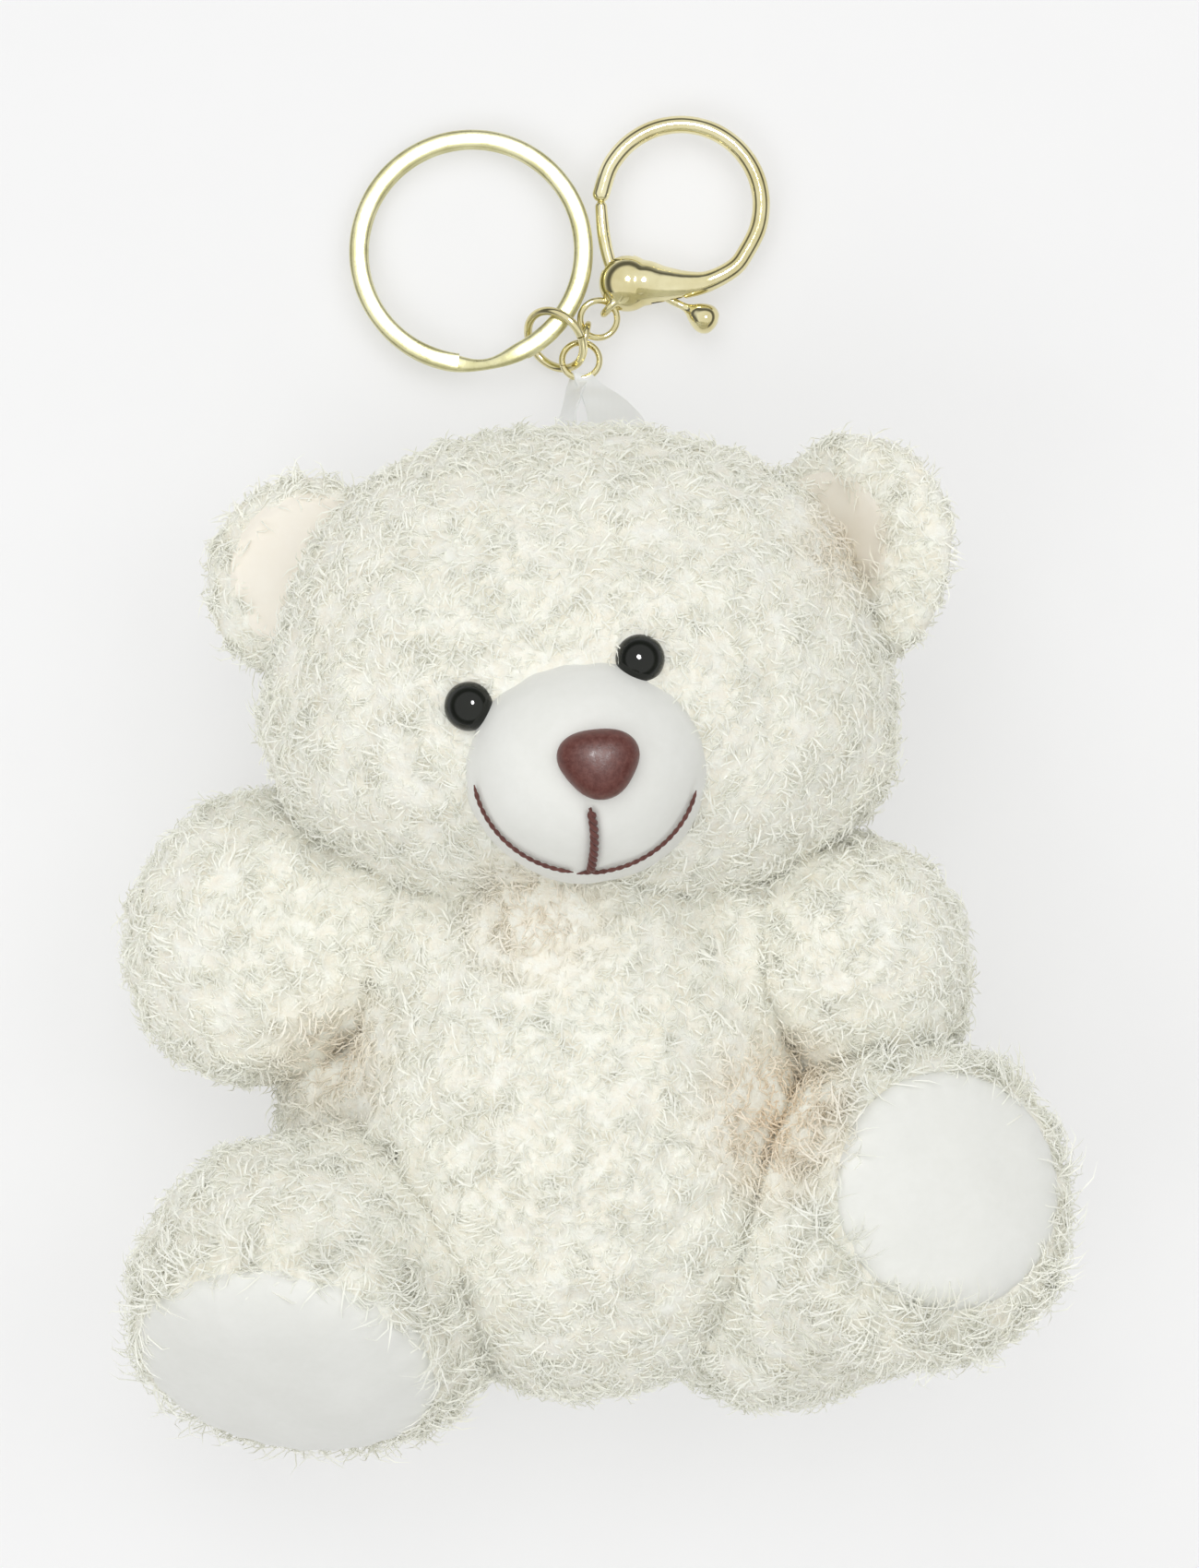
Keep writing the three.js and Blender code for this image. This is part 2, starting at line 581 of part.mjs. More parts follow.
// ---------- clasp: hook, bulb and eye in one casting, with a sprung lever on a pin ----------
{
  const onHook = (degrees) => [
    clasp.centre[0] + clasp.radius * Math.cos(radians(degrees)),
    clasp.centre[1] + clasp.radius * Math.sin(radians(degrees)),
    clasp.centre[2],
  ];
  const points = [];
  const hookSteps = 9;
  for (let i = 0; i <= hookSteps; i++)
    points.push(onHook(clasp.tip + ((clasp.root - clasp.tip) * i) / hookSteps));
  const radii = points.map(() => clasp.wire);
  const [bulbX, bulbY, bulbZ] = clasp.bulb;
  points.push([bulbX + 6.6, bulbY + 0.5, bulbZ], [bulbX + 3.2, bulbY + 0.1, bulbZ], clasp.bulb);
  radii.push(clasp.wire * 1.25, clasp.wire * 1.9, clasp.bulbRadius * 0.8);
  const wire = taperedTube(points, radii, 8, 34);
  const bulbRadii = [clasp.bulbRadius * 1.05, clasp.bulbRadius * 1.08, clasp.bulbRadius];
  const bulb = ball(clasp.bulb, bulbRadii, 14, 8);
  const tip = ball(onHook(clasp.tip), [clasp.wire, clasp.wire, clasp.wire], 8, 6);
  const plate = new THREE.CylinderGeometry(clasp.eyeRadius, clasp.eyeRadius, clasp.eyeThickness, 14);
  const eyeBore = new THREE.CylinderGeometry(clasp.eyeHole, clasp.eyeHole, 6, 10);
  const place = new THREE.Matrix4().makeTranslation(...clasp.eye).multiply(
    new THREE.Matrix4().makeRotationZ(radians(claspRing.toward)),
  );
  const toRoot = rod(clasp.eye, clasp.bulb, clasp.eyeThickness / 2 + 0.2, 8);
  const casting = join([wire, bulb, tip, toRoot, solid(plate, place)]).subtract(solid(eyeBore, place));

  const [pinX, pinY] = clasp.pin;
  const pinAt = (z) => [pinX, pinY, clasp.centre[2] + z];
  const pinLow = pinAt(-clasp.pinLength / 2);
  const pinHigh = pinAt(clasp.pinLength / 2);
  const bore = rod(pinLow, pinHigh, clasp.pinRadius + 0.2, 8);
  const gateTop = onHook(clasp.tip);
  gateTop[1] -= clasp.wire + lever.gap;
  const elbow = [...lever.elbow, clasp.centre[2]];
  const thumb = [...lever.thumb, clasp.centre[2]];
  const leverBody = join([
    rod(gateTop, elbow, lever.bar, 8),
    ball(elbow, [lever.bar, lever.bar, lever.bar], 8, 4),
    rod(elbow, pinAt(0), lever.bar, 8),
    rod(pinAt(-lever.hubThickness / 2), pinAt(lever.hubThickness / 2), lever.hub, 12),
    rod(pinAt(0), thumb, lever.bar * 0.75, 8),
    ball(thumb, [1.2, 1.3, 1].map((k) => k * lever.thumbRadius), 10, 6),
  ]);

  // The slot: the lever's arms need a wedge each to swing in, the hub a disc, and the spring a pocket.
  const bearing = ([x, y]) => Math.atan2(y - pinY, x - pinX);
  const wedge = (start, end, reach) => {
    const half = lever.bar + 0.3;
    const outline = new THREE.Shape();
    const corner = (angle, far, side) => [
      far * Math.cos(angle) + half * Math.cos(angle + side),
      far * Math.sin(angle) + half * Math.sin(angle + side),
    ];
    outline.moveTo(...corner(start, 0, Math.PI / 2));
    outline.lineTo(...corner(start, reach, Math.PI / 2));
    outline.lineTo(...corner((start + end) / 2, reach * 1.1, 0));
    outline.lineTo(...corner(end, reach, -Math.PI / 2));
    outline.lineTo(...corner(end, 0, -Math.PI / 2));
    outline.closePath();
    const geometry = new THREE.ExtrudeGeometry(outline, { depth: clasp.slot, bevelEnabled: false });
    return solid(geometry, new THREE.Matrix4().makeTranslation(...pinAt(-clasp.slot / 2)));
  };
  const open = radians(lever.open);
  const slot = join([
    wedge(bearing(lever.elbow), bearing(lever.elbow) - open, 7),
    wedge(bearing(lever.thumb), bearing(lever.thumb) - open, 9),
    wedge(radians(spring.angle), radians(spring.angle - 14), spring.reach + 0.2),
    rod(pinAt(-clasp.slot / 2), pinAt(clasp.slot / 2), lever.hub + 0.3, 12),
  ]);
  addPiece("clasp_body", largest(casting.subtract(slot).subtract(bore)), "gold");
  addPiece("clasp_lever", largest(leverBody.subtract(bore)), "gold");
  addPiece("clasp_pin", rod(pinLow, pinHigh, clasp.pinRadius, 8), "steel");

  const spot = radians(spring.angle);
  const coil = [];
  const perTurn = 7;
  for (let i = 0; i <= spring.turns * perTurn; i++) {
    const angle = (2 * Math.PI * i) / perTurn;
    const out = spring.reach + spring.coil * Math.cos(angle);
    const side = spring.length * (i / (spring.turns * perTurn) - 0.5);
    coil.push([
      pinX + out * Math.cos(spot) + side * Math.sin(spot),
      pinY + out * Math.sin(spot) - side * Math.cos(spot),
      clasp.centre[2] + spring.coil * Math.sin(angle),
    ]);
  }
  addPiece("clasp_spring", taperedTube(coil, [spring.wire, spring.wire], 5, 36), "steel");
}

const box = new THREE.Box3().setFromObject(keychain, true);
const middle = box.getCenter(new THREE.Vector3());
keychain.position.set(-middle.x, -middle.y, -box.min.z);

export default keychain;
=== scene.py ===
import json
import math

import bmesh
import bpy
import numpy as np
from mathutils import Matrix, Vector, noise


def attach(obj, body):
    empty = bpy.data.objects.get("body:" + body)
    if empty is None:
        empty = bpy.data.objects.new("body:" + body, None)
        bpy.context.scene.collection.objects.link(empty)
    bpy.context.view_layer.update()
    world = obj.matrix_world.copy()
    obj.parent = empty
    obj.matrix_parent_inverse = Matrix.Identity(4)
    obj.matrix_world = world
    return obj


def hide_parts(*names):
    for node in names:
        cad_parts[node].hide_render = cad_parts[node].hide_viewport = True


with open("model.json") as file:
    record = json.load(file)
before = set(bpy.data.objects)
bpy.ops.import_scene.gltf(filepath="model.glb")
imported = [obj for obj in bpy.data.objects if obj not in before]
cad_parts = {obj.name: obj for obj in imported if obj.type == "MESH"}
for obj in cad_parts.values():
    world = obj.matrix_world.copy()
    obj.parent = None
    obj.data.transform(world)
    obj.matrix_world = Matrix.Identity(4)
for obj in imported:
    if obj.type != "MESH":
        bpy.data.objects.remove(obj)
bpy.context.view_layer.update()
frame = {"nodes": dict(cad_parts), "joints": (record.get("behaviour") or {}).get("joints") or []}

mm = 0.001
sides = ("right", "left")
joints = {joint["name"]: joint for joint in frame["joints"]}
# All shapes below are in the pattern's own millimetres; this carries them to the frame.
shift = np.array(joints["neck_nod"]["pos_m"]) / mm - (-1.8, -9, 20)
print("frame loaded:", len(frame["nodes"]), "nodes")


def unit(vector):
    vector = np.asarray(vector, float)
    return vector / np.maximum(np.linalg.norm(vector, axis=-1, keepdims=True), 1e-12)


# shader expressions


class Signal:
    # one node output; arithmetic on it adds Math nodes

    def __init__(self, tree, socket):
        self.tree = tree
        self.socket = socket

    def combine(self, operation, first, second):
        maths = self.tree.nodes.new("ShaderNodeMath")
        maths.operation = operation
        for slot, value in zip(maths.inputs, (first, second)):
            if isinstance(value, Signal):
                self.tree.links.new(value.socket, slot)
            else:
                slot.default_value = value
        return Signal(self.tree, maths.outputs[0])

    def __add__(self, other):
        return self.combine("ADD", self, other)

    def __radd__(self, other):
        return self.combine("ADD", other, self)

    def __sub__(self, other):
        return self.combine("SUBTRACT", self, other)

    def __rsub__(self, other):
        return self.combine("SUBTRACT", other, self)

    def __mul__(self, other):
        return self.combine("MULTIPLY", self, other)

    def __rmul__(self, other):
        return self.combine("MULTIPLY", other, self)


def addNode(tree, kind, settings, sockets, output=0):
    made = tree.nodes.new(kind)
    for name, value in settings.items():
        if name == "stops":
            stops = made.color_ramp.elements
            while len(stops) < len(value):
                stops.new(0.5)
            for stop, (place, tone) in zip(stops, value):
                stop.position = place
                stop.color = (tone, tone, tone, 1)
        else:
            setattr(made, name, value)
    for name, value in sockets.items():
        if isinstance(value, Signal):
            tree.links.new(value.socket, made.inputs[name])
        else:
            made.inputs[name].default_value = value
    return Signal(tree, made.outputs[output])


class Finish:
    # a material: fixed values on its shader, and what changes over the surface fed in

    def __init__(self, name, fixed):
        self.material = bpy.data.materials.new(name)
        self.material.use_nodes = True
        self.tree = self.material.node_tree
        self.surface = self.tree.nodes["Principled BSDF"]
        for socket, value in fixed.items():
            self.surface.inputs[socket].default_value = value

    def add(self, kind, settings, sockets, output=0):
        return addNode(self.tree, kind, settings, sockets, output)

    def place(self):
        return self.add("ShaderNodeTexCoord", {}, {}, "Object")

    def noise(self, scale, detail=3, rough=0.55):
        sockets = {"Vector": self.place(), "Scale": scale, "Detail": detail, "Roughness": rough}
        return self.add("ShaderNodeTexNoise", {}, sockets)

    def ramp(self, signal, *stops):
        return self.add("ShaderNodeValToRGB", {"stops": stops}, {"Fac": signal})

    def blend(self, share, first, second):
        mixed = self.tree.nodes.new("ShaderNodeMix")
        mixed.data_type = "RGBA"
        self.tree.links.new(share.socket, mixed.inputs[0])
        for slot, value in ((mixed.inputs[6], first), (mixed.inputs[7], second)):
            if isinstance(value, Signal):
                self.tree.links.new(value.socket, slot)
            else:
                slot.default_value = (*value, 1)
        return Signal(self.tree, mixed.outputs[2])

    def feed(self, socket, signal):
        self.tree.links.new(signal.socket, self.surface.inputs[socket])

    def relief(self, height, strength, distance):
        sockets = {"Height": height, "Strength": strength, "Distance": distance * mm}
        self.feed("Normal", self.add("ShaderNodeBump", {}, sockets))


# camera, lights and floor

camera = {
    "height": 900,  # mm above the floor, straight over the bear
    "aim": (0.99, -1.05),
    "width": 147.6,  # mm across the picture at the height of the rings
    "ringHeight": 2.4,
    "sensor": 36,
}
light = {
    "skyTop": 0.92,
    "skyLow": 0.14,
    "skyEdge": 0.55,
    "skyStrength": 1.0,
    "lamps": {
        "key": {"power": 1.5, "size": 700, "at": (-160, 560, 860)},
        "fill": {"power": 0.8, "size": 500, "at": (480, 190, 760)},
        "wash": {"power": 0.95, "size": 500, "at": (-420, -330, 620)},
        "glint": {"power": 6, "size": 190, "at": (40, 250, 860)},  # the only lamp that gloss mirrors
    },
}


def buildStage():
    scene = bpy.context.scene
    scene.view_settings.view_transform = "Standard"
    data = bpy.data.cameras.new("camera")
    data.sensor_fit = "HORIZONTAL"
    data.sensor_width = camera["sensor"]
    data.lens = camera["sensor"] * (camera["height"] - camera["ringHeight"]) / camera["width"]
    data.clip_end = 10
    viewer = bpy.data.objects.new("camera", data)
    viewer.location = (camera["aim"][0] * mm, camera["aim"][1] * mm, camera["height"] * mm)
    scene.collection.objects.link(viewer)
    scene.camera = viewer

    for name, facts in light["lamps"].items():
        lamp = bpy.data.lights.new(name, "AREA")
        lamp.shape = "DISK"
        lamp.size = facts["size"] * mm
        lamp.energy = facts["power"]
        holder = bpy.data.objects.new(name, lamp)
        place = Vector(facts["at"]) * mm
        holder.location = place
        holder.rotation_euler = (-place).to_track_quat("-Z", "Y").to_euler()
        holder.visible_diffuse = name != "glint"
        holder.visible_glossy = name == "glint"
        scene.collection.objects.link(holder)

    world = bpy.data.worlds.new("studio")
    world.use_nodes = True
    tree = world.node_tree
    upward = addNode(tree, "ShaderNodeTexCoord", {}, {}, "Generated")
    height = addNode(tree, "ShaderNodeSeparateXYZ", {}, {"Vector": upward}, "Z")
    stops = ((0.0, light["skyEdge"]), (0.22, light["skyLow"]), (0.42, light["skyLow"]), (0.58, light["skyTop"]))
    shade = addNode(tree, "ShaderNodeValToRGB", {"stops": stops}, {"Fac": height})
    tree.links.new(shade.socket, tree.nodes["Background"].inputs["Color"])
    tree.nodes["Background"].inputs["Strength"].default_value = light["skyStrength"]
    scene.world = world

    floorMesh = bpy.data.meshes.new("floor")
    far, low = 3, -0.0003
    floorMesh.from_pydata([(-far, -far, low), (far, -far, low), (far, far, low), (-far, far, low)], [], [(0, 1, 2, 3)])
    floor = bpy.data.objects.new("floor", floorMesh)
    scene.collection.objects.link(floor)
    glow = {"Specular IOR Level": 0.05, "Emission Color": (1, 1, 1, 1), "Emission Strength": 0.465}
    paper = Finish("floor paper", glow)
    grain = paper.noise(60)
    paper.feed("Base Color", paper.blend(grain, (0.44, 0.44, 0.44), (0.46, 0.46, 0.46)))
    paper.feed("Roughness", 0.85 + 0.1 * grain)
    floorMesh.materials.append(paper.material)
    print("stage built")


buildStage()

# finishes

pile = {
    "light": (0.962, 0.967, 0.895),
    "warm": (0.955, 0.945, 0.85),
    "root": (0.93, 0.89, 0.77),
    "patch": 45,  # noise scale of the slow tone changes
    "fibre": 700,
    "tan": (0.84, 0.66, 0.45),
    # painted shade: places in the hollows where shade falls, tinted tan, each with how far it reaches, in mm, and how
    # strongly
    "worn": [((21, -37, 28), 13, 0.85), ((-7, -13, 40), 11, 0.4), ((28, 30, 27), 9, 0.45), ((-31, -30, 24), 11, 0.4)],
    "paintedShadeDepth": 0.4,  # depth counts this much less than width in that reach
}
smoothNap = {"light": (0.87, 0.875, 0.835), "shade": (0.83, 0.835, 0.79), "nap": 900}
earSatin = {"light": (0.93, 0.89, 0.8), "shade": (0.91, 0.86, 0.76), "nap": 800}
gold = {"light": (0.9, 0.84, 0.54), "deep": (0.7, 0.62, 0.32)}
satinGold = {"light": (0.78, 0.75, 0.47), "deep": (0.58, 0.55, 0.29)}


def pileFinish():
    made = Finish("curly pile", {"Sheen Weight": 0.2, "Sheen Roughness": 0.6, "Specular IOR Level": 0.12})
    slow = made.ramp(made.noise(pile["patch"], 2), (0.36, 0), (0.66, 1))
    fine = made.ramp(made.noise(pile["fibre"], 4), (0.3, 0), (0.62, 1))
    tone = made.blend(fine, made.blend(slow, pile["warm"], pile["light"]), pile["light"])
    flatter = Vector((1, 1, pile["paintedShadeDepth"]))
    place = made.add("ShaderNodeVectorMath", {"operation": "MULTIPLY"}, {0: made.place(), 1: flatter})
    # painted shade: the pile is tinted tan round each spot in the hollows
    for spot, reach, strength in pile["worn"]:
        heart = (Vector(spot) + Vector(shift)) * flatter * mm
        away = made.add("ShaderNodeVectorMath", {"operation": "DISTANCE"}, {0: place, 1: heart}, "Value")
        tone = made.blend(made.ramp(away * (1 / (reach * mm)), (0.15, strength), (1, 0)), tone, pile["tan"])
    made.feed("Base Color", tone)
    made.feed("Roughness", 0.84 + 0.14 * fine)
    made.relief(made.noise(1900, 3), 0.2, 0.15)
    return made.material


def backingFinish():
    made = Finish("pile backing", {"Sheen Weight": 0.2, "Sheen Roughness": 0.6, "Specular IOR Level": 0.1})
    fine = made.ramp(made.noise(520, 5, 0.65), (0.32, 0), (0.64, 1))
    made.feed("Base Color", made.blend(fine, pile["root"], pile["light"]))
    made.feed("Roughness", 0.88 + 0.1 * fine)
    made.relief(fine, 0.5, 0.5)
    return made.material


def napFinish(name, tones):
    made = Finish(name, {"Sheen Weight": 0.3, "Sheen Roughness": 0.45, "Specular IOR Level": 0.18})
    fine = made.noise(tones["nap"], 4, 0.7)
    nap = made.ramp(made.noise(130, 3) * 0.6 + fine * 0.4, (0.35, 0), (0.65, 1))
    made.feed("Base Color", made.blend(nap, tones["shade"], tones["light"]))
    made.feed("Roughness", 0.8 + 0.15 * fine)
    made.relief(fine, 0.2, 0.12)
    return made.material


def waddingFinish():
    made = Finish("wadding", {"Specular IOR Level": 0.1, "Sheen Weight": 0.3})
    fluff = made.noise(300, 6, 0.7)
    made.feed("Base Color", made.blend(fluff, (0.82, 0.82, 0.8), (0.95, 0.95, 0.94)))
    made.feed("Roughness", 0.88 + 0.1 * fluff)
    made.relief(fluff, 0.8, 0.8)
    return made.material


def polishedGoldFinish():
    made = Finish("polished gold plate", {"Metallic": 1.0, "Coat Weight": 0.2, "Coat Roughness": 0.04})
    cloud = made.ramp(made.noise(160, 3), (0.35, 0), (0.65, 1))
    scuff = made.ramp(made.noise(1400, 5, 0.7), (0.45, 0), (0.8, 1))
    made.feed("Base Color", made.blend(cloud, gold["deep"], gold["light"]))
    made.feed("Roughness", 0.06 + 0.12 * scuff)
    made.relief(cloud, 0.05, 0.1)
    return made.material


def satinGoldFinish():
    made = Finish("satin gold plate", {"Metallic": 1.0, "Coat Weight": 0.1, "Coat Roughness": 0.15})
    cloud = made.ramp(made.noise(240, 4), (0.35, 0), (0.65, 1))
    frost = made.noise(2600, 4, 0.8)
    made.feed("Base Color", made.blend(cloud, satinGold["deep"], satinGold["light"]))
    made.feed("Roughness", 0.18 + 0.24 * frost)
    made.relief(frost, 0.35, 0.05)
    return made.material


def steelFinish():
    made = Finish("plain steel", {"Metallic": 1.0})
    drawn = made.noise(900, 3)
    made.feed("Base Color", made.blend(drawn, (0.5, 0.5, 0.5), (0.72, 0.72, 0.72)))
    made.feed("Roughness", 0.2 + 0.2 * drawn)
    return made.material


def eyeFinish():
    made = Finish("eye gloss", {"Coat Weight": 0.3, "Coat Roughness": 0.02, "Specular IOR Level": 0.2})
    haze = made.noise(300, 2)
    made.feed("Base Color", made.blend(haze, (0.004, 0.005, 0.004), (0.016, 0.018, 0.013)))
    made.feed("Roughness", 0.04 + 0.06 * haze)
    return made.material


def noseFinish():
    made = Finish("nose plastic", {"Coat Weight": 0.1, "Coat Roughness": 0.3, "Specular IOR Level": 0.35})
    speck = made.ramp(made.noise(1500, 4, 0.75), (0.4, 0), (0.66, 1))
    cloud = made.noise(260, 2)
    tone = made.blend(cloud, (0.085, 0.022, 0.017), (0.13, 0.04, 0.031))
    made.feed("Base Color", made.blend(speck, tone, (0.17, 0.06, 0.048)))
    made.feed("Roughness", 0.32 + 0.25 * speck)
    made.relief(speck, 0.3, 0.06)
    return made.material


def threadFinish():
    made = Finish("brown thread", {"Sheen Weight": 0.25, "Specular IOR Level": 0.25})
    ply = made.noise(1800, 3)
    made.feed("Base Color", made.blend(ply, (0.07, 0.02, 0.016), (0.2, 0.075, 0.06)))
    made.feed("Roughness", 0.6 + 0.3 * ply)
    made.relief(ply, 0.4, 0.1)
    return made.material


def washerFinish():
    made = Finish("washer plastic", {"Specular IOR Level": 0.4})
    cloud = made.noise(400, 3)
    made.feed("Base Color", made.blend(cloud, (0.68, 0.69, 0.68), (0.82, 0.83, 0.82)))
    made.feed("Roughness", 0.4 + 0.2 * cloud)
    return made.material


def ribbonFinish():
    made = Finish("satin ribbon", {"Sheen Weight": 0.3, "Specular IOR Level": 0.7})
    wave = {"bands_direction": "X"}
    weave = made.add("ShaderNodeTexWave", wave, {"Vector": made.place(), "Scale": 2400, "Distortion": 0.8, "Detail": 2})
    made.feed("Base Color", made.blend(weave, (0.93, 0.95, 0.94), (0.97, 0.98, 0.98)))
    made.feed("Roughness", 0.32 + 0.16 * weave)
    made.feed("Alpha", 0.9 + 0.06 * weave)
    made.relief(weave, 0.04, 0.03)
    return made.material


finishes = {
    "pile": pileFinish(), "backing": backingFinish(), "nap": napFinish("smooth nap", smoothNap),
    "earLining": napFinish("ear lining satin", earSatin), "wadding": waddingFinish(),
    "polished": polishedGoldFinish(), "satin": satinGoldFinish(), "steel": steelFinish(), "eye": eyeFinish(),
    "nose": noseFinish(), "thread": threadFinish(), "washer": washerFinish(), "ribbon": ribbonFinish(),
}
print("finishes mixed:", len(finishes))

# making pieces


crease = math.radians(50)  # edges sharper than this stay crisp


# A mesh of (points, faces, finish) parts, with equal-sized faces as one array or mixed ones as a list.
def addPiece(name, parts, body, slot, *nodes):
    points = np.concatenate([np.asarray(part[0], float).reshape(-1, 3) for part in parts])
    materials = list(dict.fromkeys(part[2] for part in parts))
    corners, sizes, which, count = [], [], [], 0
    for partPoints, faces, finish in parts:
        if isinstance(faces, np.ndarray):
            corners.append(faces.ravel() + count)
            sizes.append(np.full(len(faces), faces.shape[1]))
        else:
            corners.append(np.concatenate([np.asarray(face) for face in faces]) + count)
            sizes.append(np.array([len(face) for face in faces]))
        which.append(np.full(len(faces), materials.index(finish)))
        count += len(partPoints)
    corners, sizes, which = (np.concatenate(x).astype(np.int32) for x in (corners, sizes, which))
    mesh = bpy.data.meshes.new(name)
    mesh.vertices.add(len(points))
    mesh.vertices.foreach_set("co", ((points + shift) * mm).astype(np.float32).ravel())
    mesh.loops.add(len(corners))
    mesh.loops.foreach_set("vertex_index", corners)
    mesh.polygons.add(len(sizes))
    mesh.polygons.foreach_set("loop_start", np.concatenate([[0], np.cumsum(sizes)[:-1]]).astype(np.int32))
    for finish in materials:
        mesh.materials.append(finishes[finish])
    mesh.polygons.foreach_set("material_index", which)
    mesh.update(calc_edges=True)
    soft = np.array([finish != "pile" for finish in materials])
    mesh.polygons.foreach_set("use_smooth", soft[which])
    mesh.set_sharp_from_angle(angle=crease)
    piece = bpy.data.objects.new(name, mesh)
    bpy.context.scene.collection.objects.link(piece)
    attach(piece, body)
    if nodes:
        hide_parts(*nodes)
    return piece


# A tube along a path; flat squeezes it along its second direction, and closed joins its ends.
def tube(path, radii, around=12, closed=False, flat=1.0, first=None):
    path = np.asarray(path, float)
    radii = np.broadcast_to(radii, len(path)).astype(float)
    ahead = np.roll(path, -1, 0) - np.roll(path, 1, 0) if closed else np.gradient(path, axis=0)
    ahead = unit(ahead)
    across = np.zeros_like(path)
    start = np.cross(ahead[0], (0, 0, 1)) if first is None else np.asarray(first, float)
    if np.linalg.norm(start) < 0.05:
        start = np.cross(ahead[0], (0, 1, 0))
    across[0] = unit(start - ahead[0] * np.dot(start, ahead[0]))
    for i in range(1, len(path)):
        across[i] = unit(across[i - 1] - ahead[i] * np.dot(across[i - 1], ahead[i]))
    other = np.cross(ahead, across)
    turns = np.linspace(0, 2 * math.pi, around, endpoint=False)
    ring = np.cos(turns)[None, :, None] * across[:, None] + np.sin(turns)[None, :, None] * other[:, None] * flat
    points = (path[:, None] + ring * radii[:, None, None]).reshape(-1, 3)
    faces = []
    for i in range(len(path) if closed else len(path) - 1):
        here, there = i * around, (i + 1) % len(path) * around
        for j in range(around):
            k = (j + 1) % around
            faces.append((here + k, here + j, there + j, there + k))
    if not closed:
        faces.append(tuple(range(around)))
        faces.append(tuple(range(len(points) - around, len(points)))[::-1])
    return points, faces


# A profile of (radius, height) turned about an axis and closed at both ends.
def turned(profile, around=40, stretch=(1, 1)):
    turns = np.linspace(0, 2 * math.pi, around, endpoint=False)
    points = np.array([
        (r * math.cos(a) * stretch[0], r * math.sin(a) * stretch[1], h) for r, h in profile for a in turns
    ])
    faces = []
    for i in range(len(profile) - 1):
        for j in range(around):
            k = (j + 1) % around
            faces.append((i * around + j, i * around + k, (i + 1) * around + k, (i + 1) * around + j))
    faces.append(tuple(range(around))[::-1])
    faces.append(tuple(range(len(points) - around, len(points))))
    return points, faces


def joined(*forms):
    points, faces, count = [], [], 0
    for formPoints, formFaces in forms:
        points.append(np.asarray(formPoints, float))
        faces += [tuple(index + count for index in face) for face in formFaces]
        count += len(formPoints)
    return np.concatenate(points), faces


def facing(direction):
    turn = Vector((0, 0, 1)).rotation_difference(Vector(unit(direction)))
    return np.array(turn.to_matrix())


# A smooth curve through given points, each with its radius as a fourth number if wanted.
def through(places, steps):
    places = np.asarray(places, float)
    n = len(places)
    out = []
    for i in range(n - 1):
        a, b, c, d = (places[max(0, min(n - 1, i + k))] for k in (-1, 0, 1, 2))
        for t in np.linspace(0, 1, steps, endpoint=False):
            linear, square, cube = (c - a) * t, (2 * a - 5 * b + 4 * c - d) * t**2, (3 * b - a - 3 * c + d) * t**3
            out.append(0.5 * (2 * b + linear + square + cube))
    out.append(places[-1])
    return np.array(out)


# the bear's body: each stuffed part is given by how far outside it a point is

head = {
    "centre": (-1.8, 11.6, 27), "radii": (38, 34.6, 27.5), "chin": 26.5,
    "cheek": 0.07, "brow": 0.05, "gusset": 19,
}
torso = {
    "centre": (-1.8, -38.2, 23.4), "radii": (28.5, 34, 24.5),
    # rounds that fill out the hips, the neck and the shoulders
    "rounds": {(-29, -37, 16): 10.5, (27, -35, 18): 11, (-1.8, -14, 30): 15.5, (-19, -15, 22): 13, (16, -15, 25): 12},
}
limbs = {
    "arm_right": {
        "base": (-25, -11.5, 17), "tip": (-41.2, -17.8, 17.5), "radii": (16, 16.6),
        "puff": (-39.5, -13.9, 17.5), "puffRadius": 16.4,
    },
    "arm_left": {
        "base": (19, -13, 18), "tip": (30.6, -17.6, 27), "radii": (14, 14.4),
        "puff": (32, -23, 23), "puffRadius": 13.6,
    },
    "leg_right": {
        "base": (-19, -52, 18), "tip": (-35.2, -59.4, 31.5), "radii": (17.4, 21),
        "sole": (-0.14, -0.79, 0.6), "depth": 8.4, "dome": 4.6,
    },
    "leg_left": {
        "base": (21.5, -56.2, 18), "tip": (37.2, -46.6, 29.5), "radii": (17.6, 19.6),
        "sole": (0.35, 0.1, 0.93), "depth": 12.4, "dome": 3,
    },
}
muzzle = {"centre": (-1.2, 4.6, 46.5), "radii": (14.5, 13.6, 14.5), "seam": 4.5, "footprint": (13.3, 12.6, 99)}
eyes = {
    "right": {"at": (-14.8, 11.6, 51.6), "facing": (-0.22, 0.1, 0.97)},
    "left": {"at": (5.1, 17.1, 52.3), "facing": (0.1, 0.2, 0.97)},
    "radius": 2.9, "dome": 2.5,
}
ears = {
    "right": {"centre": (-35.2, 27.4, 24), "facing": (-0.32, 0.1, 0.94), "radius": 13, "rim": 3.3, "dishAt": (1.4, 0.3, 0)},
    "left": {"centre": (30.2, 30, 25), "facing": (-0.55, 0.12, 0.83), "radius": 15.3, "rim": 5.6, "dishAt": (-2.4, 0.3, 0)},
    "half": 3.8, "dish": 2.2,
}
fur = {
    "inset": 1.0,  # the backing lies this far under the CAD's surface
    "backing": 1.1,
    "perArea": 2.8,  # strands on each square mm
    "length": 2.4,
    "spread": 0.45,
    "tuft": 0.5,  # how much longer and shorter whole tufts are
    "tuftScale": 0.27,
    "thickness": 0.13,
    "steps": 3,
    "curl": 2.2,  # radians that a strand bends over by
    "clump": 0.3,  # noise scale, per mm, of the way that neighbours lean together
    "lump": 0.8,  # mm that the backing rolls in and out
    "lumpScale": 0.2,
    "buried": 3.0,  # strands further than this inside a neighbour are left out
    "lowest": 0.25,  # mm above the floor
}


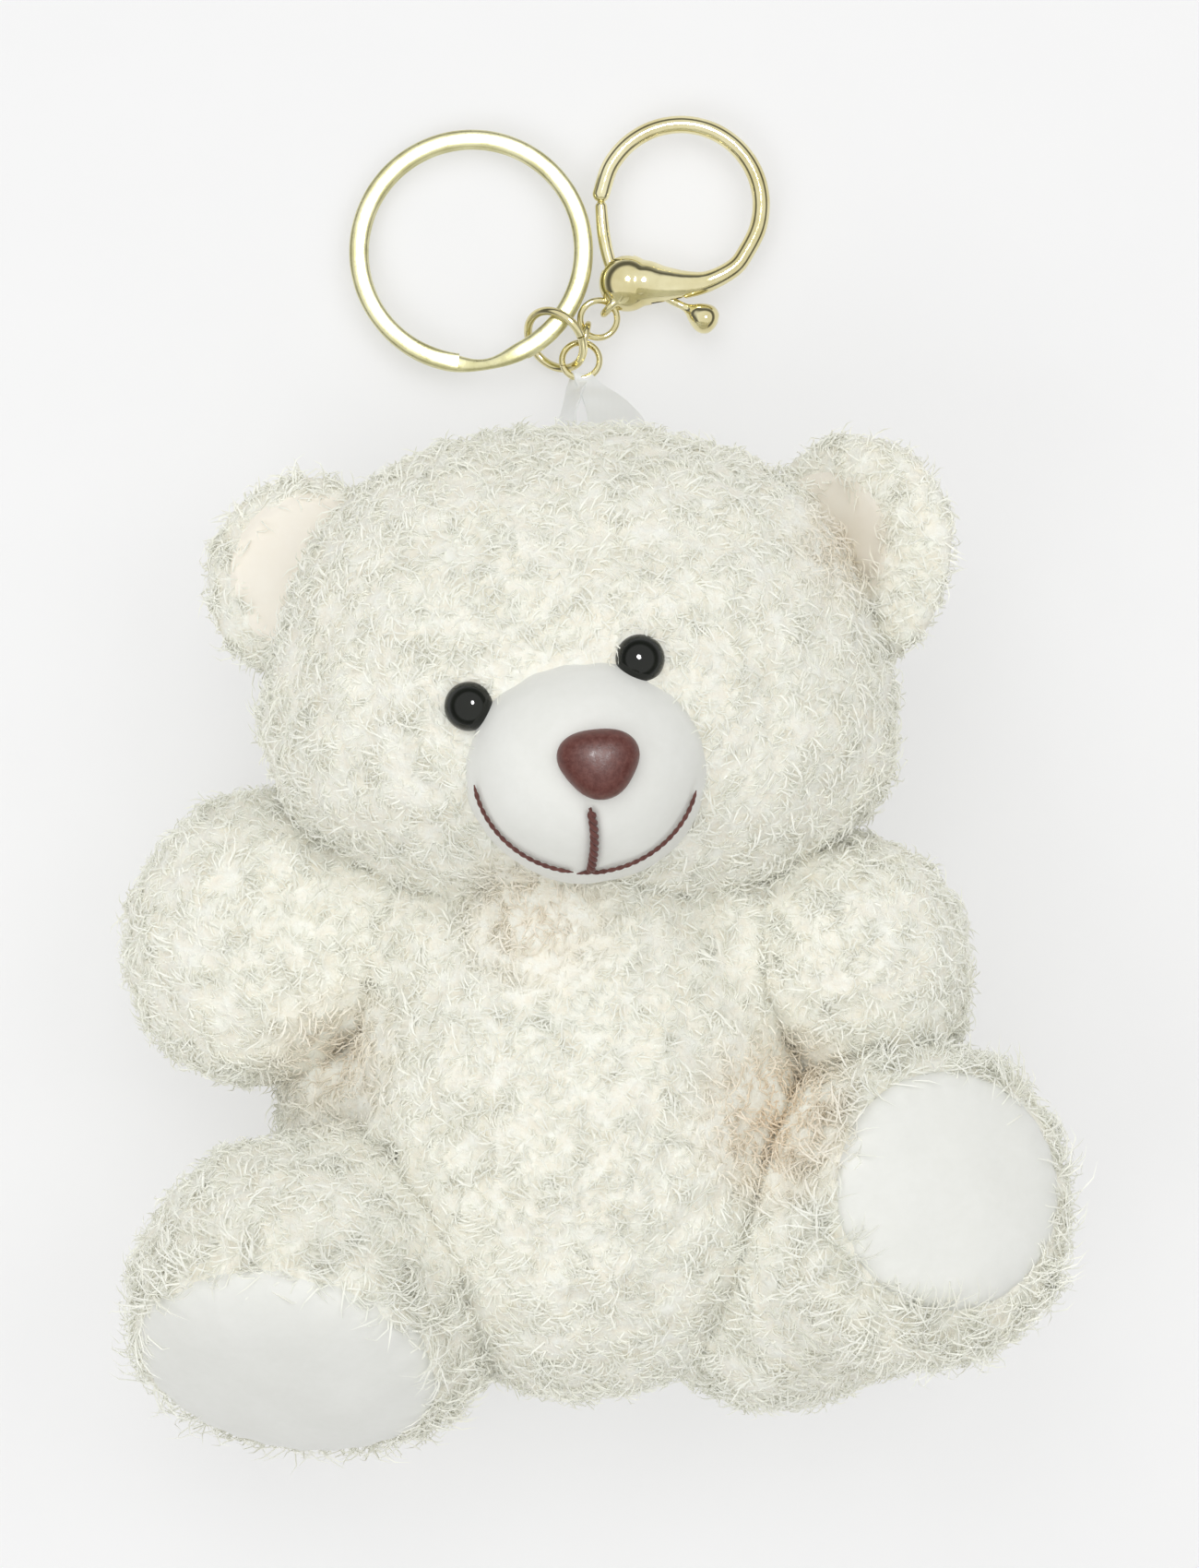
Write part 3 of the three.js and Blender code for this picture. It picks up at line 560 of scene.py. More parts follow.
# Two distances as one, rounded where they meet.
def together(first, second, softness):
    share = np.clip(0.5 + 0.5 * (second - first) / softness, 0, 1)
    return second * (1 - share) + first * share - softness * share * (1 - share)


def outsideHead(points):
    offset = points - head["centre"]
    radii = np.broadcast_to(head["radii"], offset.shape).copy()
    radii[:, 1] = np.where(offset[:, 1] < 0, head["chin"], radii[:, 1])
    share = np.linalg.norm(offset / radii, axis=1)
    low = np.clip(0.35 - offset[:, 1] / head["chin"], 0, 1) * np.clip(1.5 + offset[:, 1] / head["chin"], 0, 1)
    cheeks = head["cheek"] * low * (offset[:, 0] / head["radii"][0]) ** 2
    x, y = offset[:, 0] / radii[:, 0], np.clip(offset[:, 1] / radii[:, 1], 0, 1)
    return (share - 1 - cheeks - head["brow"] * 4 * x * x * y * y) * 31


def outsideTorso(points):
    out = (np.linalg.norm((points - torso["centre"]) / torso["radii"], axis=1) - 1) * 28
    for place, radius in torso["rounds"].items():
        out = together(out, np.linalg.norm(points - place, axis=1) - radius, 6)
    return out


def outsideLimb(limb):
    base, tip = np.array(limb["base"], float), np.array(limb["tip"], float)
    along = tip - base
    first, last = limb["radii"]

    def outside(points):
        share = np.clip((points - base) @ along / (along @ along), 0, 1)
        out = np.linalg.norm(points - base - share[:, None] * along, axis=1) - first - (last - first) * share
        if "puff" in limb:
            out = together(out, np.linalg.norm(points - limb["puff"], axis=1) - limb["puffRadius"], 3)
        if "sole" in limb:
            normal = unit(limb["sole"])
            height = (points - tip) @ normal
            aside = np.linalg.norm(points - tip - height[:, None] * normal, axis=1)
            rim = math.sqrt(last**2 - limb["depth"] ** 2)
            dome = (limb["dome"] - 1.4) * np.sqrt(np.clip(1 - (aside / rim) ** 2, 0, 1))
            out = np.maximum(out, height - limb["depth"] - dome)
        return out

    return outside


forms = {
    "head": {"outside": outsideHead, "centre": np.array(head["centre"], float), "detail": 6},
    "torso": {"outside": outsideTorso, "centre": np.array(torso["centre"], float), "detail": 6},
}
for name, limb in limbs.items():
    middle = (np.array(limb["base"], float) + limb["tip"]) / 2
    forms[name] = {"outside": outsideLimb(limb), "centre": middle, "detail": 6}


def directionsOfBall(detail):
    ball = bmesh.new()
    bmesh.ops.create_icosphere(ball, subdivisions=detail, radius=1)
    directions = np.array([corner.co[:] for corner in ball.verts])
    faces = np.array([[corner.index for corner in face.verts] for face in ball.faces])
    ball.free()
    return directions, faces


# The surface of a form, found along each direction from its middle, and moved out by grow.
def skinOf(outside, centre, directions, grow):
    near, far = np.zeros(len(directions)), np.full(len(directions), 80.0)
    for _ in range(22):
        half = (near + far) / 2
        within = outside(centre + directions * half[:, None]) < grow
        near, far = np.where(within, half, near), np.where(within, far, half)
    return centre + directions * near[:, None]


def normalsOf(points, faces):
    across = np.cross(points[faces[:, 1]] - points[faces[:, 0]], points[faces[:, 2]] - points[faces[:, 0]])
    normals = np.zeros_like(points)
    for k in range(3):
        np.add.at(normals, faces[:, k], across)
    return unit(normals), np.linalg.norm(across, axis=1) / 2


def rolling(points, scale):
    return np.array([noise.noise(Vector(p * scale)) + 0.5 * noise.noise(Vector(p * scale * 2.4)) for p in points])


def restOnFloor(points):
    points[:, 2] = np.maximum(points[:, 2], fur["lowest"])
    return points


# A thin closed sheet: a patch of faces, the same patch a little lower, and the edge between them.
def sheetOf(points, faces, normals, depth):
    used, flatFaces = np.unique(faces, return_inverse=True)
    top = flatFaces.reshape(faces.shape)
    outer = points[used]
    inner = outer - normals[used] * depth
    count = len(used)
    edges = {(face[k], face[(k + 1) % 3]) for face in top.tolist() for k in range(3)}
    rim = [(b, a, a + count, b + count) for a, b in edges if (b, a) not in edges]
    sheet = np.concatenate([top, top[:, ::-1] + count])
    walls = np.array(sorted(rim)).reshape(-1, 4)
    halves = np.concatenate([walls[:, [0, 1, 2]], walls[:, [0, 2, 3]]])
    return restOnFloor(np.concatenate([outer, inner])), np.concatenate([sheet, halves])


# Curled strands of pile, rooted at random over a patch of faces.
def strandsOn(points, faces, normals, seed, keep, length=None, comb=None):
    draw = np.random.default_rng(seed)
    _, areas = normalsOf(points, faces)
    count = int(areas.sum() * fur["perArea"])
    chosen = draw.choice(len(faces), count, p=areas / areas.sum())
    share = draw.random((count, 2))
    over = share.sum(1) > 1
    share[over] = 1 - share[over]
    weights = (1 - share.sum(1), share[:, 0], share[:, 1])
    roots = sum(w[:, None] * points[faces[chosen, k]] for k, w in enumerate(weights))
    up = unit(sum(w[:, None] * normals[faces[chosen, k]] for k, w in enumerate(weights)))
    kept = keep(roots)
    roots, up = roots[kept], up[kept]
    count = len(roots)
    swirl = np.array([noise.noise_vector(Vector(p * fur["clump"]))[:] for p in roots])
    swirl += draw.normal(size=swirl.shape) * 0.16
    sideways = unit(swirl - up * np.sum(swirl * up, 1)[:, None])
    other = np.cross(up, sideways)
    reach = (length or fur["length"]) * (1 + fur["spread"] * (draw.random(count) * 2 - 1))
    reach *= 1 + fur["tuft"] * np.array([noise.noise(Vector(p * fur["tuftScale"])) for p in roots])
    if comb:
        pull, longer = comb(roots)
        up = unit(up + pull)
        reach *= longer
        sideways = unit(sideways - up * np.sum(sideways * up, 1)[:, None])
        other = np.cross(up, sideways)
    bend = fur["curl"] * (0.5 + draw.random(count))
    twist = draw.normal(size=count) * 1.5
    steps = fur["steps"]
    place = roots - up * 0.3
    rings = []
    for i in range(steps + 1):
        t = i / steps
        lean, around = 0.15 + bend * t, twist * t
        side = sideways * np.cos(around)[:, None] + other * np.sin(around)[:, None]
        heading = up * np.cos(lean)[:, None] + side * np.sin(lean)[:, None]
        if i:
            place = place + heading * (reach / steps)[:, None]
        if i == steps:
            rings.append(place[:, None])
            break
        first = unit(np.cross(heading, up + 0.3 * sideways))
        second = np.cross(heading, first)
        width = fur["thickness"] * (1 - 0.4 * t)
        corners = [place + width * (first * math.cos(a) + second * math.sin(a)) for a in (0, 2.094, 4.189)]
        rings.append(np.stack(corners, 1))
    body = restOnFloor(np.concatenate(rings, 1).reshape(-1, 3))
    pattern = [(0, 2, 1)]
    for i in range(steps - 1):
        for j in range(3):
            a, b = 3 * i + j, 3 * i + (j + 1) % 3
            pattern += [(a, b, b + 3), (a, b + 3, a + 3)]
    last = 3 * (steps - 1)
    pattern += [(last + j, last + (j + 1) % 3, last + 3) for j in range(3)]
    each = 3 * steps + 1
    return body, (np.arange(count)[:, None, None] * each + np.array(pattern)).reshape(-1, 3)


def clearOf(own):
    others = [form["outside"] for name, form in forms.items() if name != own]

    def keep(roots):
        kept = roots[:, 2] > 0.6
        for outside in others:
            kept &= outside(roots) > -fur["buried"]
        if own == "head":
            offset = (roots - muzzle["centre"]) / muzzle["footprint"]
            kept &= (offset[:, 0] ** 2 + offset[:, 1] ** 2 > 1) | (roots[:, 2] < 40)
            for side in sides:
                aside = np.linalg.norm((roots - eyes[side]["at"])[:, :2], axis=1)
                kept &= (aside > eyes["radius"] + 0.35) | (roots[:, 2] < 40)
        return kept

    return keep


def formSkin(name, seed, swell=None):
    form = forms[name]
    directions, faces = directionsOfBall(form["detail"])
    points = skinOf(form["outside"], form["centre"], directions, -fur["inset"])
    normals, _ = normalsOf(points, faces)
    points = points + normals * (rolling(points + seed * 17.0, fur["lumpScale"]) * fur["lump"])[:, None]
    if swell:
        points = points + normals * swell(points)[:, None]
    return restOnFloor(points), faces, normals


def furPanel(name, body, skin, picked, seed, keep, nodes, length=None, comb=None):
    points, faces, normals = skin
    patch = faces[picked]
    strands = strandsOn(points, patch, normals, seed, keep, length, comb)
    backing = sheetOf(points, patch, normals, fur["backing"])
    piece = addPiece(name, [(*backing, "backing"), (*strands, "pile")], body, "curly_pile", *nodes)
    print(name, len(piece.data.polygons), "faces")
    return piece


def buildHead():
    skin = formSkin("head", 1)
    middles = skin[0][skin[1]].mean(1)
    offset = middles[:, 0] - head["centre"][0]
    edge = head["gusset"] / 2
    keep = clearOf("head")
    furPanel("headGusset", "head", skin, np.abs(offset) <= edge, 11, keep, ["head_gusset"])
    furPanel("headPanelRight", "head", skin, offset < -edge, 12, keep, ["head_panel_right"])
    furPanel("headPanelLeft", "head", skin, offset > edge, 13, keep, ["head_panel_left"])


def buildTorso():
    skin = formSkin("torso", 2)
    middles = skin[0][skin[1]].mean(1)
    front = middles[:, 2] > torso["centre"][2]
    keep = clearOf("torso")
    furPanel("torsoFrontPanel", "torso", skin, front, 21, keep, ["torso_front_panel"])
    furPanel("torsoBackPanel", "torso", skin, ~front, 22, keep, ["torso_back_panel"])


fringe = {"width": 3.4, "pull": 0.35, "fall": 0.5, "longer": 0.95, "swell": 3, "swellWidth": 6}


# A limb's two panels meet along its length; a leg's are open where the sole is sewn in.
def buildLimb(name, seed):
    limb = limbs[name]
    kind, side = name.split("_")
    base, tip = np.array(limb["base"], float), np.array(limb["tip"], float)

    # the pile puffs out below the sole
    def swell(points):
        height = (points - tip) @ unit(limb["sole"])
        aside = unit(points - tip - height[:, None] * unit(limb["sole"]))
        under = limb["depth"] - height
        near = np.exp(-(((under - 5) / fringe["swellWidth"]) ** 2)) * np.clip(under / 4, 0, 1)
        return near * np.clip(-aside[:, 1], 0, 1) * fringe["swell"]

    skin = formSkin(name, seed, swell if "sole" in limb else None)
    middles = skin[0][skin[1]].mean(1)
    upward = unit(np.cross(tip - base, (0, 1, 0)))
    upward = upward if upward[2] > 0 else -upward
    above = (middles - base) @ upward > 0
    unpicked = np.zeros(len(middles), bool)
    clear = clearOf(name)
    keep, comb = clear, None
    if "sole" in limb:
        normal = unit(limb["sole"])
        rim = math.sqrt(limb["radii"][1] ** 2 - limb["depth"] ** 2)

        def onSole(points, margin):
            height = (points - tip) @ normal
            aside = np.linalg.norm(points - tip - height[:, None] * normal, axis=1)
            return (height > 0) & (aside < rim - margin)

        unpicked = onSole(middles, 1.6)

        def keep(roots):
            return clear(roots) & ~onSole(roots, 1.6)

        # the pile is longest round the sole, and stands up past its edge
        def comb(roots):
            near = np.exp(-(((((roots - tip) @ normal) - limb["depth"] + 1) / fringe["width"]) ** 2))
            pull = normal * fringe["pull"] - np.array([0, fringe["fall"], 0])
            return near[:, None] * pull, 1 + near * fringe["longer"]

    upper, lower = ("front", "back") if kind == "arm" else ("upper", "lower")
    title = kind + side.capitalize()
    for part, picked in ((upper, above), (lower, ~above)):
        label = title + part.capitalize() + "Panel"
        node = f"{kind}_{part}_panel_{side}"
        furPanel(label, name, skin, picked & ~unpicked, seed * 10 + len(part), keep, [node], comb=comb)


sole = {"inset": 1.1, "rings": 26, "around": 96, "lip": 1.5, "pucker": 0.22, "puckers": 26, "ripple": 0.35, "cloth": 0.9}


# The smooth sole: a pillow-shaped disc with a rolled edge, drawn in a little at each stitch.
def buildSole(side):
    limb = limbs["leg_" + side]
    rim = math.sqrt(limb["radii"][1] ** 2 - limb["depth"] ** 2) - sole["inset"]
    turns = np.linspace(0, 2 * math.pi, sole["around"], endpoint=False)
    grid, inner = [], []
    for i in range(1, sole["rings"] + 1):
        share = i / sole["rings"]
        r = rim * share
        h = limb["depth"] + limb["dome"] * (1 - share**2.6) ** 0.62 - 0.2
        drawn = sole["pucker"] * np.cos(sole["puckers"] * turns) * share**7
        wavy = np.array([noise.noise(Vector((r * math.cos(a) / 7, r * math.sin(a) / 7, limb["dome"]))) for a in turns])
        height = h - drawn + wavy * sole["ripple"] * (1 - share**4)
        grid.append(np.stack([r * np.cos(turns), r * np.sin(turns), height], 1))
    outer = np.concatenate(grid)
    lip = grid[-1] * (0.985, 0.985, 1) - (0, 0, sole["lip"])
    top = np.array([[0, 0, grid[0][:, 2].mean()]])
    points = np.concatenate([top, outer, lip])
    rows = sole["rings"] + 1
    n = sole["around"]
    j = np.arange(n)
    k = (j + 1) % n
    faces = [np.stack([np.zeros(n, int), 1 + j, 1 + k], 1)]
    for i in range(rows - 1):
        a, b = 1 + i * n, 1 + (i + 1) * n
        faces += [np.stack([a + j, b + j, b + k], 1), np.stack([a + j, b + k, a + k], 1)]
    faces = np.concatenate(faces)
    points = points @ facing(limb["sole"]).T + limb["tip"]
    normals, _ = normalsOf(points, faces)
    cloth = sheetOf(points, faces, normals, sole["cloth"])
    piece = addPiece("sole" + side.capitalize(), [(*cloth, "nap")], "leg_" + side, "smooth_nap", "sole_" + side)


earShape = {"fullness": 2.5, "around": 72, "rings": 18, "cloth": 0.7}


def buildEar(side):
    ear = ears[side]
    turn = facing(ear["facing"])
    centre = np.array(ear["centre"], float)
    half, radius = ears["half"], ear["radius"] - 0.9
    well = radius - ear["rim"] + 0.5
    hollow = (np.array(ear["dishAt"], float) @ turn)[:2]

    def inDish(local):
        return np.linalg.norm(local[:, :2] - hollow, axis=1)

    def outside(points):
        local = (points - centre) @ turn
        r, inner = np.linalg.norm(local[:, :2], axis=1), inDish(local)
        body = ((r / radius) ** earShape["fullness"] + (np.abs(local[:, 2]) / half) ** 2) ** 0.5 - 1
        dish = half * 0.95 - ears["dish"] * np.clip(1 - (inner / well) ** 2, 0, 1) ** 0.7
        return np.maximum(body * half, np.where(inner < well, local[:, 2] - dish, -9))

    directions, faces = directionsOfBall(5)
    start = centre - turn @ np.array([0, 0, 1.2])
    points = skinOf(outside, start, directions, 0)
    normals, _ = normalsOf(points, faces)
    middles = (points[faces].mean(1) - centre) @ turn
    lined = (inDish(middles) < well - 1.2) & (middles[:, 2] > 0)
    points = points + normals * (rolling(points, 0.2) * 0.4)[:, None]

    def keep(roots):
        local = (roots - centre) @ turn
        front = (inDish(local) < well - 1.1) & (local[:, 2] > 0)
        return ~front & (outsideHead(roots) > -2)

    title = "ear" + side.capitalize()
    skin = (points, faces, normals)
    furPanel(title + "Back", "head", skin, ~lined, 31 + len(side), keep, ["ear_back_" + side], 2.6)

    turns = np.linspace(0, 2 * math.pi, earShape["around"], endpoint=False)
    rows = []
    for i in range(1, earShape["rings"] + 1):
        share = i / earShape["rings"]
        r = (well + 0.2) * share
        h = half * 0.95 - ears["dish"] * 0.8 * (1 - share**2) ** 0.7 + 0.15
        wavy = [noise.noise(Vector((r * math.cos(a) / 5, r * math.sin(a) / 5, radius))) for a in turns]
        height = h + 0.5 * np.array(wavy) * (1 - share**5)
        x, y = r * np.cos(turns) + hollow[0], r * np.sin(turns) + hollow[1]
        crown = half * np.sqrt(np.clip(1 - (np.hypot(x, y) / radius) ** earShape["fullness"], 0, 1))
        rows.append(np.stack([x, y, np.minimum(height, crown + 0.1)], 1))
    points = np.concatenate([[[*hollow, rows[0][:, 2].mean()]], *rows])
    n = earShape["around"]
    j = np.arange(n)
    k = (j + 1) % n
    faces = [np.stack([np.zeros(n, int), 1 + j, 1 + k], 1)]
    for i in range(earShape["rings"] - 1):
        a, b = 1 + i * n, 1 + (i + 1) * n
        faces += [np.stack([a + j, b + j, b + k], 1), np.stack([a + j, b + k, a + k], 1)]
    faces = np.concatenate(faces)
    points = points @ turn.T + centre
    normals, _ = normalsOf(points, faces)
    cloth = sheetOf(points, faces, normals, earShape["cloth"])
    piece = addPiece(title + "Lining", [(*cloth, "earLining")], "head", "ear_lining", "ear_lining_" + side)


stitches = {
    "ply": 0.16, "mouthPly": 0.32, "lay": 0.22, "twist": 3.2,  # radians turned for each mm of thread
    "groove": 0.35, "grooveWidth": 0.8,
    "mouth": (-4.9, -12.6), "smile": (190, 347), "share": 0.9,
}


def onMuzzle(u, v, lift):
    w = math.sqrt(max(0.0, 1 - u * u - v * v))
    return [muzzle["centre"][i] + s * (muzzle["radii"][i] + lift) for i, s in enumerate((u, v, w))]


def mouthPath(lift, steps=30):
    first, last = stitches["mouth"]
    out = []
    for i in range(steps + 1):
        t = i / steps
        y = first + (last - first) * t
        out.append(onMuzzle(0.035 + 0.1 * t * (1 - t) * 1.4, y / (muzzle["radii"][1] + 0.5), lift))
    return np.array(out)


def smilePath(first, last, lift, steps=60):
    start, end = stitches["smile"]
    out = []
    for i in range(steps + 1):
        share = first + (last - first) * i / steps
        a = math.radians(start + (end - start) * share)
        out.append(onMuzzle(stitches["share"] * math.cos(a), stitches["share"] * math.sin(a), lift))
    return np.array(out)


def buildMuzzle():
    directions, faces = directionsOfBall(6)
    centre = np.array(muzzle["centre"], float)
    points = centre + directions * muzzle["radii"]
    normals = unit(directions / muzzle["radii"])
    lines = [mouthPath(0), smilePath(0, 0.46, 0), smilePath(0.54, 1, 0)]
    nearest = np.full(len(points), 99.0)
    for place in np.concatenate(lines):
        nearest = np.minimum(nearest, np.linalg.norm(points - place, axis=1))
    sunk = stitches["groove"] * np.exp(-((nearest / stitches["grooveWidth"]) ** 2))
    points = points + normals * (0.25 * rolling(points, 0.13) - sunk)[:, None]
    kept = points[faces].mean(1)[:, 2] > muzzle["centre"][2] - muzzle["seam"]
    normals, _ = normalsOf(points, faces)
    cloth = sheetOf(points, faces[kept], normals, 0.9)
    piece = addPiece("muzzleCover", [(*cloth, "nap")], "head", "smooth_nap", "muzzle_cover")


# Two plies twisted round each other along a path, thinner towards the ends.
def twisted(path, ply):
    steps = np.linalg.norm(np.diff(path, axis=0), axis=1)
    run = np.concatenate([[0], np.cumsum(steps)])
    fine = np.linspace(0, run[-1], max(24, int(run[-1] * 6)))
    path = np.stack([np.interp(fine, run, path[:, k]) for k in range(3)], 1)
    ahead = unit(np.gradient(path, axis=0))
    out = unit((path - muzzle["centre"]) / np.array(muzzle["radii"]) ** 2)
    across = np.cross(ahead, out)
    ends = np.clip(np.minimum(fine, run[-1] - fine) / 0.8, 0.35, 1)
    plies = []
    for phase in (0, math.pi):
        turn = stitches["twist"] * fine + phase
        offset = across * np.cos(turn)[:, None] + out * np.sin(turn)[:, None]
        plies.append(tube(path + offset * (ply * 0.75 * ends)[:, None], ply * ends, 8))
    return joined(*plies)


def buildStitches():
    mouth = twisted(mouthPath(stitches["lay"]), stitches["mouthPly"])
    foot = through([onMuzzle(u, v, 0.2) for u, v in ((-0.07, -0.905), (0.04, -0.89), (0.15, -0.9))], 10)
    cross = twisted(foot, stitches["ply"])
    addPiece("mouthStitch", [(*joined(mouth, cross), "thread")], "head", "brown_thread", "mouth_stitch")
    for side, first, last in (("right", 0, 0.47), ("left", 0.53, 1)):
        line = twisted(smilePath(first, last, stitches["lay"] * 0.6), stitches["ply"])
        title = "smileStitch" + side.capitalize()
        addPiece(title, [(*line, "thread")], "head", "brown_thread", "smile_stitch_" + side)


def buildEyes():
    radius, dome = eyes["radius"], eyes["dome"]
    profile = [(0.9, -6.2), (0.9, -0.9), (radius * 0.8, -0.9), (radius * 0.97, -0.7), (radius, -0.35)]
    profile += [
        (radius * math.cos(a) ** 0.85, dome * math.sin(a)) for a in np.linspace(0, math.pi / 2 - 0.03, 16)
    ]
    for side in sides:
        points, faces = turned(profile, 48)
        points = points @ facing(eyes[side]["facing"]).T + eyes[side]["at"]
        addPiece("eye" + side.capitalize(), [(points, faces, "eye")], "head", "eye_gloss", "eye_" + side)


nose = {"at": (0.35, 5.1, 61.0), "radii": (4.7, 4.1, 2.9), "corner": 0.075, "stem": 7.6}


# A rounded triangle, wide above and narrowing to the mouth, with a soft dome.
def buildNose():
    around, rows = 64, 18
    points = []
    for i in range(rows):
        a = math.pi * (i + 0.5) / rows - math.pi / 2
        for j in range(around):
            t = 2 * math.pi * j / around
            r = math.cos(a) ** 0.8
            wide = 1 + nose["corner"] * math.cos(3 * (t - math.pi / 6 - 0.12))
            x, y = nose["radii"][0] * r * wide * math.cos(t), nose["radii"][1] * r * wide * math.sin(t)
            z = nose["radii"][2] * math.copysign(abs(math.sin(a)) ** 0.9, math.sin(a))
            points.append((x, y, z))
    faces = [
        (i * around + j, i * around + (j + 1) % around, (i + 1) * around + (j + 1) % around, (i + 1) * around + j)
        for i in range(rows - 1)
        for j in range(around)
    ]
    faces.append(tuple(range(around))[::-1])
    faces.append(tuple(range(len(points) - around, len(points))))
    stem = turned([(1, -nose["stem"]), (1, 0)], 16)
    points, faces = joined((np.array(points), faces), stem)
    points = points @ facing((0.03, 0.06, 1)).T + nose["at"]
    addPiece("nose", [(points, faces, "nose")], "head", "nose_plastic", "nose")


def buildStuffing():
    # the wadding keeps its packed outline, with a fluffed surface
    plan = {"torso_stuffing": "torso", "head_stuffing": "head", "muzzle_stuffing": "head"}
    for side in sides:
        plan[f"arm_stuffing_{side}"] = f"arm_{side}"
        plan[f"leg_stuffing_{side}"] = f"leg_{side}"
    for node, body in plan.items():
        form = bmesh.new()
        form.from_mesh(frame["nodes"][node].data)
        bmesh.ops.remove_doubles(form, verts=form.verts, dist=1e-6)
        bmesh.ops.triangulate(form, faces=form.faces)
        long = [edge for edge in form.edges if edge.calc_length() > 3 * mm]
        bmesh.ops.subdivide_edges(form, edges=long, cuts=2, use_grid_fill=True)
        bmesh.ops.triangulate(form, faces=form.faces)
        form.normal_update()
        for corner in form.verts:
            fluff = noise.noise(corner.co * 220) - 0.7
            corner.co += corner.normal * (fluff * 0.35 * mm)
        points = np.array([corner.co[:] for corner in form.verts]) / mm - shift
        faces = np.array([[corner.index for corner in face.verts] for face in form.faces])
        form.free()
        words = node.split("_")
        piece = addPiece(
            words[0] + "".join(word.capitalize() for word in words[1:]), [(points, faces, "wadding")], body, "wadding", node
        )


buildHead()
for side in sides:
    buildEar(side)
buildMuzzle()
buildStitches()
buildEyes()
buildNose()
print("head sewn")
buildTorso()
for seed, name in enumerate(limbs, 4):
    buildLimb(name, seed)
for side in sides:
    buildSole(side)
buildStuffing()
print("body sewn")

# ribbon and hardware

ribbon = {
    "thickness": 0.35,
    # points of the middle line, then half the width and how far the strip is turned on edge, in radians
    "line": [
        (3.2, 43.4, 21.5, 3.4, -0.35), (2.4, 46.2, 14.5, 3.3, -0.3), (0.9, 49.2, 8.6, 2.3, -0.2),
        (-1.2, 52.0, 4.9, 1.25, 0.0), (-1.75, 53.25, 3.9, 1.05, 0.1), (-2.0, 52.5, 3.0, 1.05, 0.2),
        (-2.6, 50.2, 6.0, 1.3, 0.6), (-3.3, 47.4, 12.2, 1.9, 0.9), (-3.8, 44.4, 19.5, 2.3, 0.9),
    ],
    "across": 9, "cup": 0.25,
}


def buildRibbon():
    line = through(ribbon["line"], 10)
    path, half, roll = line[:, :3], line[:, 3], line[:, 4]
    ahead = unit(np.gradient(path, axis=0))
    level = unit(np.array([1, 0, 0]) - ahead * ahead[:, :1])
    out = np.cross(ahead, level)
    side = level * np.cos(roll)[:, None] + out * np.sin(roll)[:, None]
    out = np.cross(ahead, side)
    n = ribbon["across"]
    spots = np.linspace(-1, 1, n)
    rows = []
    for k, s in enumerate(spots):
        ripple = 0.1 * np.sin(np.arange(len(path)) * 0.5 + 2 * s)
        rows.append(path + side * (half * s)[:, None] + out * (ribbon["cup"] * (1 - s * s) + ripple)[:, None])
    points = np.stack(rows, 1).reshape(-1, 3)
    a = (np.arange(len(path) - 1)[:, None] * n + np.arange(n - 1)).ravel()
    faces = np.concatenate([np.stack([a, a + 1, a + n + 1], 1), np.stack([a, a + n + 1, a + n], 1)])
    normals, _ = normalsOf(points, faces)
    cloth = sheetOf(points, faces, normals, ribbon["thickness"])
    addPiece("ribbonLoop", [(*cloth, "ribbon")], "ribbon", "satin_ribbon", "ribbon_loop")


def ringAxes(facts):
    toward, tilt = math.radians(facts["toward"]), math.radians(facts["tilt"])
    level = np.array([math.cos(toward), math.sin(toward), 0])
    raised = np.array([-level[1] * math.cos(tilt), level[0] * math.cos(tilt), math.sin(tilt)])
    return level, raised


rings = {
    "keyLink": {
        "centre": (-5, 57.2, 3.3), "radius": 3.95, "wire": 0.52, "toward": -46, "tilt": 45,
        "body": "key_link", "node": "key_link", "cut": 60,
    },
    "ribbonRing": {
        "centre": (-1.9, 54.65, 3.25), "radius": 2.3, "wire": 0.4, "toward": 0, "tilt": -15,
        "body": "ribbon_ring", "node": "ribbon_ring", "cut": 200,
    },
    "chainLink": {
        "centre": (-1.35, 57.45, 2.75), "radius": 1.75, "wire": 0.4, "toward": 78, "tilt": 90,
        "body": "chain_link", "node": "chain_link", "cut": 120,
    },
    "claspRing": {
        "centre": (0.3, 59.75, 2.9), "radius": 2.3, "wire": 0.4, "toward": 46, "tilt": 14,
        "body": "clasp_ring", "node": "clasp_ring", "cut": 170,
    },
}


# An open ring of round wire, its two cut ends almost meeting.
def buildRings():
    for name, facts in rings.items():
        level, raised = ringAxes(facts)
        gap = 0.07 / facts["radius"]
        turns = np.linspace(gap, 2 * math.pi - gap, 72) + math.radians(facts["cut"])
        path = np.array(facts["centre"]) + facts["radius"] * (
            np.cos(turns)[:, None] * level + np.sin(turns)[:, None] * raised
        )
        form = tube(path, facts["wire"], 18)
        addPiece(name, [(*form, "polished")], facts["body"], "polished_gold", facts["node"])


keyRing = {
    "centre": (-15.4, 68.1, 2.4), "radius": 13.85, "band": 2.3, "turn": 1.1, "gap": 0.25,
    "rise": 4, "toward": -46, "start": -62, "turns": 1.905, "stepFrom": 0.885, "step": 0.115, "pinch": 0.4,
}


